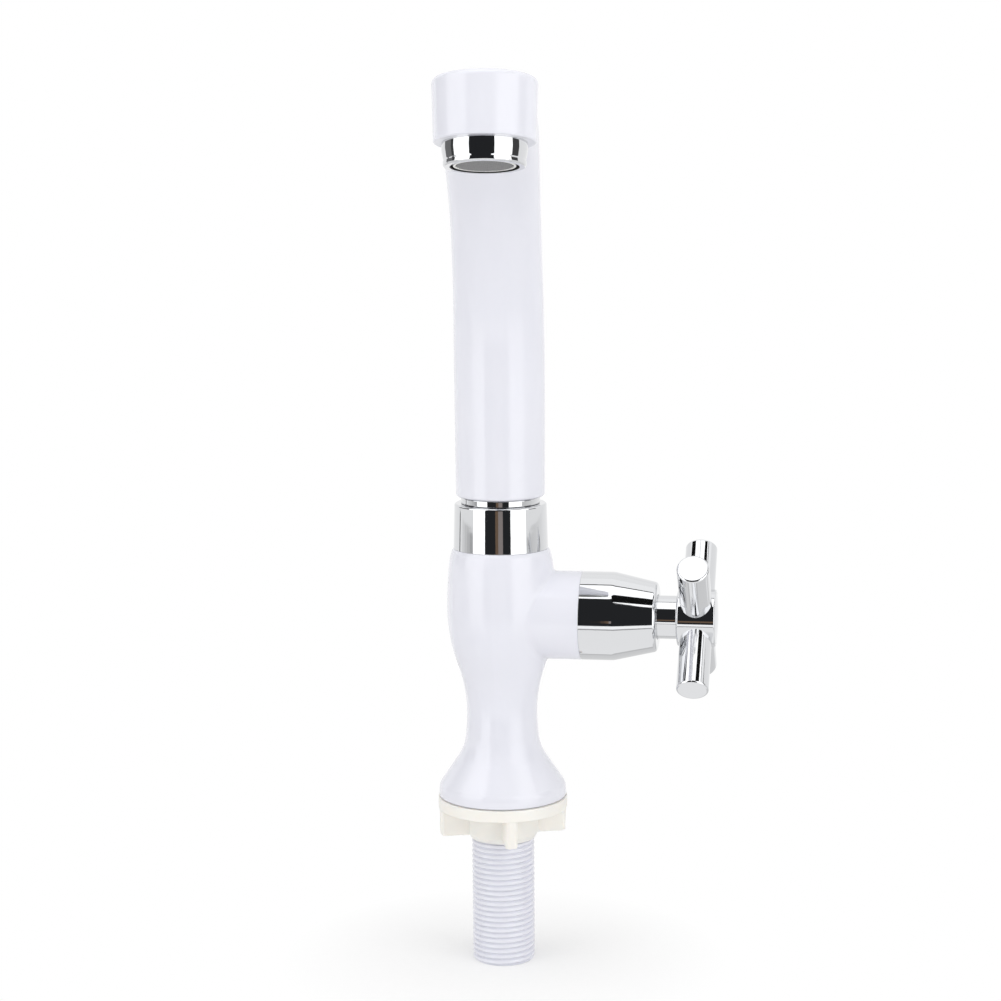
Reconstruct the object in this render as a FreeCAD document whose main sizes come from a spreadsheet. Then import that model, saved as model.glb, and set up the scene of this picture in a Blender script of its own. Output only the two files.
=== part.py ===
import FreeCAD, Part
import math
import os
from types import SimpleNamespace

import Sketcher
from FreeCAD import Vector

# A cold water pillar tap with a swivelling swan-neck spout and a cross handle on its right side.
# The origin is the centre of the base on the worktop, with +Z up the spout's column and +X along
# the valve. The spout points to -Y when its swing is zero. Lengths are in millimetres and
# angles are in degrees.

# Driving dimensions
SIZES = {
    # Gaps that every fit shares: screwed, turning, pressed, face to face, and free of touching
    "thread_gap": 0.08,
    "journal_gap": 0.05,
    "press_gap": 0.02,
    "slide_gap": 0.1,
    "clear_gap": 0.35,
    # Pedestal: the threaded shank and the turned outline of the column, from the worktop up
    "shank_radius": 10.4775,
    "shank_length": 56.8,
    "shank_chamfer": 0.8,
    "gasket_thickness": 0.5,
    "base_radius": 21.2,
    "rim_height": 2.5,
    "flare_inset": 1.0,
    "flare_rise": 2.8,
    "foot_radius": 15.05,
    "foot_rise": 7.6,
    "throat_radius": 12.1,
    "throat_rise": 8.3,
    "waist_radius": 11.75,
    "waist_rise": 5.8,
    "hip_radius": 14.55,
    "hip_drop": 17.15,
    "belly_radius": 18.0,
    "belly_rise": 3.6,
    "shoulder_radius": 17.3,
    "shoulder_drop": 5.9,
    "crown_radius": 16.3,
    "crown_drop": 0.9,
    # Pedestal: the cored underside of the base, with its ribs
    "base_wall": 2.4,
    "core_wall": 3.0,
    "pocket_depth": 7.2,
    "pocket_top_width": 2.0,
    "rib_angle": 6.0,
    # Pedestal: waterways and the valve's seat
    "handle_height": 61.75,
    "inlet_radius": 5.5,
    "inlet_tip": 2.0,
    "seat_wall": 3.0,
    "seat_port_radius": 4.5,
    "port_radius": 3.0,
    "port_overlap": 2.2,
    "boss_blend": 1.2,
    # Pedestal: the screwed neck and the spout's socket
    "collar_rise": 22.15,
    "neck_radius": 13.0,
    "neck_height": 9.3,
    "socket_depth": 14.7,
    "socket_lead": 0.6,
    # Base gasket
    "gasket_inset": 0.8,
    # Backnut
    "nut_overhang": 0.4,
    "nut_flange": 3.9,
    "nut_hub_wall": 1.3,
    "nut_height": 14.4,
    "nut_chamfer": 1.0,
    "nut_chamfer_height": 2.0,
    "wing_inset": 0.2,
    "wing_width": 4.0,
    "wing_draft": 0.2,
    "wing_height": 13.2,
    "wing_corner": 0.9,
    "wing_round": 1.5,
    "nut_turn": 17.0,
    # Collar, glide ring, clip and spigot
    "collar_wall": 2.62,
    "collar_taper": 0.4,
    "collar_round": 1.2,
    "lip_height": 3.4,
    "glide_thickness": 1.0,
    "clip_thickness": 1.2,
    "clip_seat": 1.2,
    "clip_gap_angle": 24.0,
    "spigot_radius": 10.4,
    "spigot_bore": 7.5,
    "spigot_end_gap": 0.8,
    "spigot_chamfer": 0.8,
    "ring_height": 2.3,
    "ring_round": 0.8,
    "ring_overlap": 1.6,
    "nipple_length": 10.0,
    "spigot_seal_width": 2.1,
    "spigot_seal_depth": 1.7,
    "spigot_seal_rise": 2.4,
    "spigot_seal_pitch": 4.6,
    # Spout
    "spout_swing": 6.5,
    "tube_radius": 14.65,
    "tube_round": 0.9,
    "spout_wall": 3.2,
    "stem_height": 37.9,
    "stem_flare": 0.23,
    "bend_radius": 84.0,
    "bend_waist": 0.5,
    "outlet_tilt": 10.4,
    "run_out": 12.5,
    "outlet_drop": 8.7,
    "drum_step": 1.4,
    "drum_wall": 2.8,
    "drum_draft": 0.6,
    "drum_round": 0.5,
    "drum_top_round": 1.8,
    "drum_crown": 0.6,
    "crown_flat": 6.0,
    "crown_blend": 16.0,
    "drum_roof": 2.8,
    "oval_inset": 0.2,
    "oval_margin": 0.3,
    # Aerator
    "aerator_radius": 12.0,
    "aerator_thread": 6.2,
    "aerator_drop": 7.0,
    "aerator_flare": 0.5,
    "aerator_bead": 1.6,
    "aerator_wall": 1.4,
    "aerator_lip": 5.0,
    "aerator_lip_radius": 10.05,
    "aerator_seal": 1.5,
    "aerator_seal_width": 3.2,
    "core_flange": 1.2,
    "core_nose_gap": 0.95,
    "core_recess": 0.3,
    "core_web": 1.2,
    "core_hole_radius": 1.1,
    "core_hole_circle": 5.0,
    "mesh_radius": 8.65,
    "mesh_thickness": 0.4,
    "mesh_rim": 0.2,
    "mesh_recess": 0.5,
    # Valve cartridge
    "valve_thread_radius": 10.4775,
    "valve_thread_length": 8.0,
    "valve_depth": 18.7,
    "flange_overlap": 1.9,
    "flange_height": 2.0,
    "hex_inset": 1.4,
    "hex_height": 6.0,
    "gland_radius": 8.0,
    "gland_length": 13.4,
    "chamber_relief": 0.3,
    "barrel_relief": 1.6,
    "barrel_wall": 1.45,
    "barrel_end_gap": 0.8,
    "mouth_seal_width": 1.8,
    "mouth_seal_depth": 1.0,
    "seat_seal_height": 3.6,
    "seat_seal_width": 1.7,
    "fixed_disc_height": 3.0,
    "drive_disc_height": 2.8,
    "disc_gap": 0.08,
    "disc_hub_radius": 1.9,
    "disc_port_radius": 5.6,
    "disc_port_angle": 80.0,
    "lug_width": 4.0,
    "slot_width": 4.0,
    "slot_depth": 1.4,
    "window_width": 9.0,
    "window_margin": 0.4,
    # Spindle
    "spindle_radius": 4.0,
    "carrier_height": 3.0,
    "washer_thickness": 0.8,
    "spindle_seal_width": 1.9,
    "spindle_seal_depth": 1.2,
    "spindle_seal_rise": 4.0,
    "spindle_seal_pitch": 5.0,
    "spindle_clip_thickness": 0.8,
    "spindle_clip_depth": 0.65,
    "spindle_clip_radius": 5.3,
    "spline_depth": 0.45,
    "spline_length": 5.5,
    # Bonnet
    "bonnet_wall": 1.87,
    "bonnet_length": 24.95,
    "bonnet_straight": 10.6,
    "bonnet_shoulder": 8.0,
    "bonnet_end_radius": 11.35,
    "bonnet_round": 1.3,
    "bonnet_land": 6.0,
    # Cross handle with its insert, screw and cap
    "cross_angle": 45.0,
    "handle_neck_radius": 7.1,
    "handle_neck_length": 6.5,
    "handle_neck_entry": 0.8,
    "handle_neck_bore": 5.9,
    "hub_radius": 9.4,
    "hub_length": 12.6,
    "hub_round": 0.7,
    "arm_radius": 5.25,
    "arm_reach": 28.2,
    "arm_round": 0.5,
    "insert_radius": 6.5,
    "insert_floor": 1.0,
    "insert_web": 1.5,
    "screw_radius": 2.0,
    "screw_length": 8.5,
    "screw_head_radius": 3.6,
    "screw_head_height": 2.0,
    "screw_slot_width": 1.0,
    "screw_slot_depth": 0.9,
    "cap_radius": 8.4,
    "cap_rebate": 1.2,
    "cap_dome": 0.6,
    "cap_skirt": 1.1,
}

RIBS = 8
WINGS = 4
ARMS = 4
SPLINE_TEETH = 20
CORE_HOLES = 8
BEND_STATIONS = 8
HEXAGON = 6


class Size:
    """A length or an angle, with the sheet expression that it comes from."""

    def __init__(self, number, text):
        self.number = number
        self.text = text

    def __add__(self, other):
        other = as_size(other)
        return Size(self.number + other.number, f"({self.text} + {other.text})")

    def __radd__(self, other):
        return as_size(other) + self

    def __sub__(self, other):
        other = as_size(other)
        return Size(self.number - other.number, f"({self.text} - {other.text})")

    def __rsub__(self, other):
        return as_size(other) - self

    def __mul__(self, other):
        other = as_size(other)
        return Size(self.number * other.number, f"({self.text} * {other.text})")

    def __rmul__(self, other):
        return as_size(other) * self

    def __truediv__(self, other):
        other = as_size(other)
        return Size(self.number / other.number, f"({self.text} / {other.text})")

    def __neg__(self):
        return Size(-self.number, f"(-{self.text})")


def as_size(value):
    """A plain number as a size, so that both kinds add up alike."""
    if isinstance(value, Size):
        return value
    return Size(float(value), f"({float(value)!r})")


def cosine(angle):
    return Size(math.cos(math.radians(angle.number)), f"cos({angle.text})")


def sine(angle):
    return Size(math.sin(math.radians(angle.number)), f"sin({angle.text})")


doc = FreeCAD.newDocument("cold_tap")
sheet = doc.addObject("Spreadsheet::Sheet", "Sizes")
for row, (alias, value) in enumerate(SIZES.items(), start=1):
    sheet.set(f"A{row}", alias)
    sheet.set(f"B{row}", str(value))
    sheet.setAlias(f"B{row}", alias)
doc.recompute()
dim = SimpleNamespace(**{alias: Size(value, f"Sizes.{alias}") for alias, value in SIZES.items()})

sub_parts = []


# Sketches: every corner is pinned to the sheet

def origin_feature(body, role):
    """One of the body's own planes or axes."""
    for feature in body.Origin.OriginFeatures:
        if feature.Role == role:
            return feature
    raise ValueError(role)


def turn_left(direction):
    return Vector(-direction.y, direction.x, 0)


def tangent_arc(start, heading, end):
    """The arc that leaves start along heading and meets end, its turn and its last heading."""
    side = turn_left(heading)
    span = end - start
    reach = span.dot(span) / (2 * side.dot(span))
    centre = start + side * reach
    sweep = 1 if reach > 0 else -1
    last = turn_left(end - centre) * (sweep / abs(reach))
    return arc_between(centre, start, end, sweep), sweep, last


def domed_arc(start, end):
    """The arc between two points whose centre lies on the upright axis, and its turn."""
    level = (end.dot(end) - start.dot(start)) / (2 * (end.y - start.y))
    centre = Vector(0, level, 0)
    sweep = 1 if (start - centre).cross(end - centre).z > 0 else -1
    return arc_between(centre, start, end, sweep), sweep


def arc_between(centre, start, end, sweep):
    """A sketch arc, which always runs anticlockwise, between two points on its circle."""
    first, second = (start, end) if sweep > 0 else (end, start)
    circle = Part.Circle(centre, Vector(0, 0, 1), (start - centre).Length)
    angles = []
    for point in (first, second):
        angles.append(math.atan2(point.y - centre.y, point.x - centre.x))
    if angles[1] < angles[0]:
        angles[1] += 2 * math.pi
    return Part.ArcOfCircle(circle, angles[0], angles[1])


class Outline:
    """A closed sketch outline. A corner is (across, up), with a third value where it is rounded
    by that radius, "tangent" where an arc that carries on from the last edge ends there, or
    "domed" where an arc about a point of the upright axis ends there."""

    def __init__(self, body, name, role, corners, lift=None, shift=None):
        self.sketch = body.newObject("Sketcher::SketchObject", name)
        self.sketch.AttachmentSupport = [(origin_feature(body, role), "")]
        self.sketch.MapMode = "FlatFace"
        if lift is not None:
            self.sketch.setExpression("AttachmentOffset.Base.z", lift.text)
        if shift is not None:
            self.sketch.setExpression("AttachmentOffset.Base.y", shift.text)
        self.rules = []
        self.bindings = []
        self.corners = corners
        self.points = [self.place(corner) for corner in corners]
        self.draw()
        self.sketch.addConstraint(self.rules)
        for index, text in self.bindings:
            self.sketch.setExpression(f"Constraints[{index}]", text)

    def place(self, corner):
        return Vector(as_size(corner[0]).number, as_size(corner[1]).number, 0)

    def third(self, index):
        corner = self.corners[index % len(self.corners)]
        return corner[2] if len(corner) > 2 else None

    def rule(self, *terms):
        self.rules.append(Sketcher.Constraint(*terms))

    def bound_rule(self, kind, *terms, size):
        self.bindings.append((len(self.rules), size.text))
        self.rule(kind, *terms, size.number)

    def pin(self, geometry, end, corner):
        """Hold a point at its corner. A plain zero lies on the axis."""
        for kind, axis, value in (("DistanceX", -2, corner[0]), ("DistanceY", -1, corner[1])):
            if isinstance(value, Size):
                self.bound_rule(kind, -1, 1, geometry, end, size=value)
            else:
                self.rule("PointOnObject", geometry, end, axis)

    def rounding(self, index):
        """Where a rounded corner leaves its two edges, and the arc between them."""
        count = len(self.points)
        corner = self.points[index % count]
        back = (self.points[(index - 1) % count] - corner).normalize()
        ahead = (self.points[(index + 1) % count] - corner).normalize()
        half = back.getAngle(ahead) / 2
        radius = self.third(index).number
        run = radius / math.tan(half)
        centre = corner + (back + ahead).normalize() * (radius / math.sin(half))
        sweep = 1 if back.cross(ahead).z < 0 else -1
        first = corner + back * run
        last = corner + ahead * run
        return first, last, sweep, arc_between(centre, first, last, sweep)

    def draw(self):
        """Edges in order, each as (geometry, its start, its end), then what joins them."""
        count = len(self.points)
        chain = []
        heading = None
        for index in range(count):
            start = self.points[index]
            end = self.points[(index + 1) % count]
            leaving = self.third(index)
            arriving = self.third(index + 1)
            if arriving == "tangent":
                arc, sweep, heading = tangent_arc(start, heading, end)
                geometry = self.sketch.addGeometry(arc, False)
                ends = (1, 2) if sweep > 0 else (2, 1)
            elif arriving == "domed":
                arc, sweep = domed_arc(start, end)
                geometry = self.sketch.addGeometry(arc, False)
                ends = (1, 2) if sweep > 0 else (2, 1)
                self.rule("PointOnObject", geometry, 3, -2)
            else:
                if isinstance(leaving, Size):
                    start = self.rounding(index)[1]
                if isinstance(arriving, Size):
                    end = self.rounding(index + 1)[0]
                heading = (end - start).normalize()
                geometry = self.sketch.addGeometry(Part.LineSegment(start, end), False)
                ends = (1, 2)
            chain.append([geometry, ends[0], ends[1]])
        for index in range(count):
            before = chain[index - 1]
            after = chain[index]
            corner = self.corners[index]
            if isinstance(self.third(index), Size):
                self.join_rounded(before, after, index)
                continue
            smooth = self.third(index + 1) == "tangent"
            kind = "Tangent" if smooth else "Coincident"
            self.rule(kind, before[0], before[2], after[0], after[1])
            self.pin(after[0], after[1], corner)

    def join_rounded(self, before, after, index):
        sweep, arc = self.rounding(index)[2:]
        geometry = self.sketch.addGeometry(arc, False)
        start, end = (1, 2) if sweep > 0 else (2, 1)
        self.rule("Tangent", before[0], before[2], geometry, start)
        self.rule("Tangent", geometry, end, after[0], after[1])
        self.bound_rule("Radius", geometry, size=self.third(index))
        point = self.sketch.addGeometry(Part.Point(self.points[index]), True)
        self.rule("PointOnObject", point, 1, before[0])
        self.rule("PointOnObject", point, 1, after[0])
        self.pin(point, 1, self.corners[index])


def circle_sketch(body, name, role, across, up, radius, lift=None):
    """One circle, whose centre is (across, up) in a plane of the body."""
    sketch = body.newObject("Sketcher::SketchObject", name)
    sketch.AttachmentSupport = [(origin_feature(body, role), "")]
    sketch.MapMode = "FlatFace"
    if lift is not None:
        sketch.setExpression("AttachmentOffset.Base.z", lift.text)
    centre = Vector(as_size(across).number, as_size(up).number, 0)
    sketch.addGeometry(Part.Circle(centre, Vector(0, 0, 1), radius.number), False)
    rules = [Sketcher.Constraint("Radius", 0, radius.number)]
    bindings = [radius.text]
    for kind, axis, value in (("DistanceX", -2, across), ("DistanceY", -1, up)):
        if isinstance(value, Size):
            rules.append(Sketcher.Constraint(kind, -1, 1, 0, 3, value.number))
            bindings.append(value.text)
        else:
            rules.append(Sketcher.Constraint("PointOnObject", 0, 3, axis))
            bindings.append(None)
    sketch.addConstraint(rules)
    for index, text in enumerate(bindings):
        if text is not None:
            sketch.setExpression(f"Constraints[{index}]", text)
    return sketch


# Features

def new_body(label, place=None):
    """An empty body for one piece of the tap."""
    body = doc.addObject("PartDesign::Body", label)
    body.Label = label
    if place is not None:
        body.setExpression("Placement", place)
    sub_parts.append(body)
    return body


def revolve(body, name, corners, kind="Revolution", role="XZ_Plane", axis="V_Axis", angle=None, shift=None):
    """Turn an outline about the body's Z axis, or about the outline's own level line."""
    outline = Outline(body, f"{name}_outline", role, corners, shift=shift)
    feature = body.newObject(f"PartDesign::{kind}", name)
    feature.Profile = outline.sketch
    feature.ReferenceAxis = (outline.sketch, [axis])
    feature.Angle = 360
    if angle is not None:
        feature.Midplane = True
        feature.setExpression("Angle", angle.text)
    outline.sketch.Visibility = False
    body.Tip = feature
    return feature


def extrude(body, name, sketch, length, kind="Pad", both_ways=False, reverse=False):
    """Pad or pocket a sketch along its own normal."""
    feature = body.newObject(f"PartDesign::{kind}", name)
    feature.Profile = sketch
    feature.setExpression("Length", length.text)
    feature.Midplane = both_ways
    feature.Reversed = reverse
    sketch.Visibility = False
    body.Tip = feature
    return feature


def repeat(body, name, feature, count):
    """Copies of a feature around the body's Z axis."""
    pattern = body.newObject("PartDesign::PolarPattern", name)
    pattern.Originals = [feature]
    pattern.Axis = (origin_feature(body, "Z_Axis"), [""])
    pattern.Angle = 360
    pattern.Occurrences = count
    body.Tip = pattern
    return pattern


def round_edges(body, name, radius, wanted):
    """Round the edges of the body's last feature that the test picks."""
    doc.recompute()
    last = body.Tip
    edges = []
    for index, edge in enumerate(last.Shape.Edges, start=1):
        if wanted(edge):
            edges.append(f"Edge{index}")
    rounding = body.newObject("PartDesign::Fillet", name)
    rounding.Base = (last, edges)
    rounding.setExpression("Radius", radius.text)
    body.Tip = rounding


def turned(label, corners, place=None, angle=None):
    """A whole piece turned about its own Z axis."""
    body = new_body(label, place)
    revolve(body, f"{label}_turned", corners, angle=angle)
    return body


def ring(label, inner, outer, bottom, top, place=None, angle=None):
    """A flat ring or a square-cut seal."""
    corners = [(inner, bottom), (outer, bottom), (outer, top), (inner, top)]
    return turned(label, corners, place, angle)


def star(count, outer, inner):
    """The corners of a shape whose points and hollows alternate."""
    corners = []
    for index in range(2 * count):
        angle = math.pi * index / count
        radius = outer if index % 2 == 0 else inner
        corners.append((radius * math.cos(angle), radius * math.sin(angle)))
    return corners


# Places: the valve's axis, and the spout's own frame

def moved(across, forward, up, axis, angle):
    """A placement expression: a turn about an axis, then a move."""
    across = as_size(across)
    forward = as_size(forward)
    up = as_size(up)
    angle = as_size(angle)
    return (
        f"placement(vector({across.text}; {forward.text}; {up.text}); "
        f"rotation(vector({axis}); {angle.text}))"
    )


Z_AXIS = "0; 0; 1"
X_AXIS = "1; 0; 0"
Y_AXIS = "0; 1; 0"

seat_across = dim.inlet_radius + dim.seat_wall
boss_face = seat_across + dim.valve_depth
valve_place = moved(boss_face, 0, dim.handle_height, Y_AXIS, 90)
cross_place = f"{valve_place} * {moved(0, 0, 0, Z_AXIS, dim.cross_angle)}"
swing = moved(0, 0, 0, Z_AXIS, dim.spout_swing)

# Heights of the spout's joint, from the worktop up

collar_seat = dim.handle_height + dim.collar_rise
neck_top = collar_seat + dim.neck_height
socket_floor = neck_top - dim.socket_depth
clip_bottom = neck_top + dim.glide_thickness + dim.slide_gap
clip_top = clip_bottom + dim.clip_thickness
lip_bottom = clip_top + dim.slide_gap
collar_top = lip_bottom + dim.lip_height
ring_bottom = collar_top + dim.slide_gap
tube_bottom = ring_bottom + dim.ring_height
spigot_end = socket_floor + dim.spigot_end_gap

# Radii of the valve, from its thread out to the boss and in to the discs

mouth_radius = dim.valve_thread_radius + dim.thread_gap
flange_radius = dim.valve_thread_radius + dim.flange_overlap
bonnet_inner = flange_radius + dim.clear_gap
boss_radius = bonnet_inner + dim.bonnet_wall
chamber_radius = dim.valve_thread_radius - dim.chamber_relief
barrel_radius = dim.valve_thread_radius - dim.barrel_relief
cavity_radius = barrel_radius - dim.barrel_wall
disc_radius = cavity_radius - dim.disc_gap
gland_bore = dim.spindle_radius + dim.journal_gap


# Pedestal: one moulding of white ABS with the shank, the column and the valve boss

def make_pedestal():
    body = new_body("pedestal_body")
    flare_height = dim.rim_height + dim.flare_rise
    foot_height = flare_height + dim.foot_rise
    throat_height = foot_height + dim.throat_rise
    waist_height = throat_height + dim.waist_rise
    hip_height = dim.handle_height - dim.hip_drop
    revolve(body, "column", [
        (0, -dim.shank_length),
        (dim.shank_radius - dim.shank_chamfer, -dim.shank_length),
        (dim.shank_radius, dim.shank_chamfer - dim.shank_length),
        (dim.shank_radius, dim.gasket_thickness),
        (dim.base_radius, dim.gasket_thickness),
        (dim.base_radius, dim.rim_height),
        (dim.base_radius - dim.flare_inset, flare_height, "tangent"),
        (dim.foot_radius, foot_height),
        (dim.throat_radius, throat_height, "tangent"),
        (dim.waist_radius, waist_height, "tangent"),
        (dim.hip_radius, hip_height, "tangent"),
        (dim.belly_radius, dim.handle_height + dim.belly_rise, "tangent"),
        (dim.shoulder_radius, collar_seat - dim.shoulder_drop, "tangent"),
        (dim.crown_radius, collar_seat - dim.crown_drop, "tangent"),
        (dim.neck_radius + dim.collar_wall, collar_seat),
        (dim.neck_radius, collar_seat),
        (dim.neck_radius, neck_top),
        (0, neck_top),
    ])
    boss = circle_sketch(body, "boss_circle", "YZ_Plane", 0, dim.handle_height, boss_radius)
    extrude(body, "boss", boss, boss_face)
    round_boss_root(body)
    cut_waterways(body)
    cut_underside(body)


def round_boss_root(body):
    """Blend the boss into the column along the curve where they meet."""
    def at_root(edge):
        middle = edge.valueAt((edge.FirstParameter + edge.LastParameter) / 2)
        off_axis = math.hypot(middle.y, middle.z - dim.handle_height.number)
        on_boss = abs(off_axis - boss_radius.number) < dim.press_gap.number
        return on_boss and edge.BoundBox.XMax < boss_face.number - dim.boss_blend.number

    round_edges(body, "boss_root_blend", dim.boss_blend, at_root)


def cut_waterways(body):
    """Inlet up the shank, the valve's chamber across the boss, the port and the spout's socket."""
    inlet_top = dim.handle_height + dim.seat_port_radius
    revolve(body, "inlet_bore", [
        (0, -dim.shank_length),
        (dim.inlet_radius, -dim.shank_length),
        (dim.inlet_radius, inlet_top),
        (0, inlet_top + dim.inlet_tip),
    ], kind="Groove")
    thread_end = boss_face - dim.valve_thread_length
    revolve(body, "valve_chamber", [
        (0, 0),
        (boss_face, 0),
        (boss_face, mouth_radius),
        (thread_end, mouth_radius),
        (thread_end, chamber_radius),
        (seat_across, chamber_radius),
        (seat_across, dim.seat_port_radius),
        (0, dim.seat_port_radius),
    ], kind="Groove", axis="H_Axis", shift=dim.handle_height)
    port_top = socket_floor + dim.port_overlap
    port_bottom = dim.handle_height + chamber_radius - dim.port_overlap
    port_inner = dim.inlet_radius
    port_outer = dim.spigot_radius + dim.port_radius
    port = Outline(body, "port_outline", "XY_Plane", [
        (port_inner, -dim.port_radius),
        (port_outer, -dim.port_radius),
        (port_outer, dim.port_radius),
        (port_inner, dim.port_radius),
    ], lift=port_top)
    extrude(body, "outlet_port", port.sketch, port_top - port_bottom, kind="Pocket")
    socket_radius = dim.spigot_radius + dim.journal_gap
    revolve(body, "spout_socket", [
        (0, socket_floor),
        (socket_radius, socket_floor),
        (socket_radius, neck_top - dim.socket_lead),
        (socket_radius + dim.socket_lead, neck_top),
        (0, neck_top),
    ], kind="Groove")


def cut_underside(body):
    """Cored pockets under the flare, with a rib between each two."""
    inner = dim.shank_radius + dim.core_wall
    top = dim.gasket_thickness + dim.pocket_depth
    pocket = revolve(body, "underside_pocket", [
        (inner, dim.gasket_thickness),
        (dim.base_radius - dim.base_wall, dim.gasket_thickness),
        (dim.base_radius - dim.base_wall, dim.rim_height),
        (inner + dim.pocket_top_width, top),
        (inner, top),
    ], kind="Groove", angle=360 / RIBS - dim.rib_angle)
    repeat(body, "underside_pockets", pocket, RIBS)


make_pedestal()

# Base gasket: a thin rubber ring between the base and the worktop

ring(
    "base_gasket",
    dim.shank_radius + dim.clear_gap,
    dim.base_radius - dim.gasket_inset,
    0,
    dim.gasket_thickness,
)


# Backnut: a plastic wing nut that clamps the worktop from below

def make_backnut():
    body = new_body("backnut", moved(0, 0, 0, Z_AXIS, dim.nut_turn))
    bore = dim.shank_radius + dim.thread_gap
    hub = bore + dim.nut_hub_wall
    nut_radius = dim.base_radius + dim.nut_overhang
    wing_radius = nut_radius - dim.wing_inset
    revolve(body, "nut_turned", [
        (bore, 0),
        (nut_radius, 0),
        (nut_radius, -dim.nut_flange),
        (hub, -dim.nut_flange),
        (hub, dim.nut_chamfer_height - dim.nut_height),
        (hub - dim.nut_chamfer, -dim.nut_height),
        (bore, -dim.nut_height),
    ])
    wing = Outline(body, "wing_outline", "YZ_Plane", [
        (bore + dim.nut_hub_wall / 2, -dim.nut_flange),
        (wing_radius, -dim.nut_flange),
        (wing_radius - dim.wing_draft, dim.wing_corner - dim.wing_height),
        (wing_radius - dim.wing_draft - dim.wing_corner, -dim.wing_height),
        (bore + dim.nut_hub_wall / 2, -dim.wing_height),
    ])
    first_wing = extrude(body, "wing", wing.sketch, dim.wing_width, both_ways=True)
    repeat(body, "wings", first_wing, WINGS)

    def on_wing_end(edge):
        rise = edge.BoundBox.ZLength
        across = math.hypot(edge.CenterOfMass.x, edge.CenterOfMass.y)
        return rise > dim.wing_height.number / 2 and across > wing_radius.number - dim.wing_round.number

    round_edges(body, "wing_rounds", dim.wing_round, on_wing_end)


make_backnut()


# Collar: the chromed union nut that holds the spout down on the neck

def make_collar():
    thread = dim.neck_radius + dim.thread_gap
    outer = dim.neck_radius + dim.collar_wall
    turned("collar", [
        (thread, collar_seat),
        (outer, collar_seat),
        (outer - dim.collar_taper, collar_top, dim.collar_round),
        (dim.spigot_radius + dim.clear_gap, collar_top),
        (dim.spigot_radius + dim.clear_gap, lip_bottom),
        (thread, lip_bottom),
    ])


make_collar()

# Glide ring: an acetal washer on the neck, on which the spout turns

clip_radius = dim.neck_radius - dim.clear_gap
ring("glide_ring", dim.spigot_radius + dim.clear_gap, clip_radius, neck_top, neck_top + dim.glide_thickness)


# Spigot: the chromed brass nipple at the spout's foot, with its seals and its clip

def make_spigot():
    spout_bore = dim.tube_radius - dim.spout_wall
    nipple = spout_bore - dim.thread_gap
    clip_root = dim.spigot_radius - dim.clip_seat
    seal_root = dim.spigot_radius - dim.spigot_seal_depth
    corners = [
        (dim.spigot_bore, spigot_end),
        (dim.spigot_radius - dim.spigot_chamfer, spigot_end),
        (dim.spigot_radius, spigot_end + dim.spigot_chamfer),
    ]
    for step in range(2):
        bottom = spigot_end + dim.spigot_seal_rise + step * dim.spigot_seal_pitch
        top = bottom + dim.spigot_seal_width
        corners += [
            (dim.spigot_radius, bottom),
            (seal_root, bottom),
            (seal_root, top),
            (dim.spigot_radius, top),
        ]
        ring(
            f"spigot_seal_{step + 1}",
            seal_root + dim.press_gap,
            dim.spigot_radius,
            bottom + dim.press_gap,
            top - dim.press_gap,
            swing,
        )
    corners += [
        (dim.spigot_radius, clip_bottom),
        (clip_root, clip_bottom),
        (clip_root, clip_top),
        (dim.spigot_radius, clip_top),
        (dim.spigot_radius, ring_bottom),
        (spout_bore + dim.ring_overlap, ring_bottom, dim.ring_round),
        (spout_bore + dim.ring_overlap, tube_bottom, dim.ring_round),
        (nipple, tube_bottom),
        (nipple, tube_bottom + dim.nipple_length),
        (dim.spigot_bore, tube_bottom + dim.nipple_length),
    ]
    turned("spout_spigot", corners, swing)
    ring(
        "swivel_clip",
        clip_root + dim.press_gap,
        clip_radius,
        clip_bottom + dim.press_gap,
        clip_top - dim.press_gap,
        swing,
        360 - dim.clip_gap_angle,
    )


make_spigot()

# Spout: a hollow swan neck of white ABS that flattens towards the outlet drum

stem_top = tube_bottom + dim.stem_height
bend_angle = 90 - dim.outlet_tilt
bend_end_forward = -dim.bend_radius * (1 - cosine(bend_angle))
bend_end_up = stem_top + dim.bend_radius * sine(bend_angle)
drum_forward = bend_end_forward - dim.run_out * cosine(dim.outlet_tilt)
drum_up = bend_end_up + dim.run_out * sine(dim.outlet_tilt)
outlet_forward = drum_forward - dim.outlet_drop * sine(dim.outlet_tilt)
outlet_up = drum_up - dim.outlet_drop * cosine(dim.outlet_tilt)
outlet_place = f"{swing} * {moved(0, outlet_forward, outlet_up, X_AXIS, 180 - dim.outlet_tilt)}"
drum_radius = dim.aerator_radius + dim.thread_gap + dim.drum_wall
oval_thickness = dim.outlet_drop - dim.oval_margin
drum_height = dim.outlet_drop + oval_thickness + dim.drum_step
cavity_depth = dim.aerator_thread + dim.aerator_seal


def bend_sections(name, start_radius, end_width, end_thickness):
    """Sections along the bend, from the round stem to the flat oval in the drum."""
    sections = []
    for station in range(BEND_STATIONS + 2):
        share = min(station / BEND_STATIONS, 1.0)
        ease = share * share * (3 - 2 * share)
        angle = bend_angle * share
        forward = -dim.bend_radius * (1 - cosine(angle))
        up = stem_top + dim.bend_radius * sine(angle)
        if station > BEND_STATIONS:
            forward = drum_forward
            up = drum_up
        if station == 0:
            section = doc.addObject("Part::Circle", f"{name}_{station}")
            section.setExpression("Radius", start_radius.text)
        else:
            section = doc.addObject("Part::Ellipse", f"{name}_{station}")
            waist = math.sin(math.pi * share) ** 2
            width = start_radius + (end_width - start_radius) * ease - dim.bend_waist * waist
            thickness = start_radius + (end_thickness - start_radius) * ease
            section.setExpression("MajorRadius", width.text)
            section.setExpression("MinorRadius", thickness.text)
        section.setExpression("Placement", f"{swing} * {moved(0, forward, up, X_AXIS, angle)}")
        sections.append(section)
    return sections


def loft(name, sections):
    solid = doc.addObject("Part::Loft", name)
    solid.Sections = sections
    solid.Solid = True
    return solid


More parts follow.
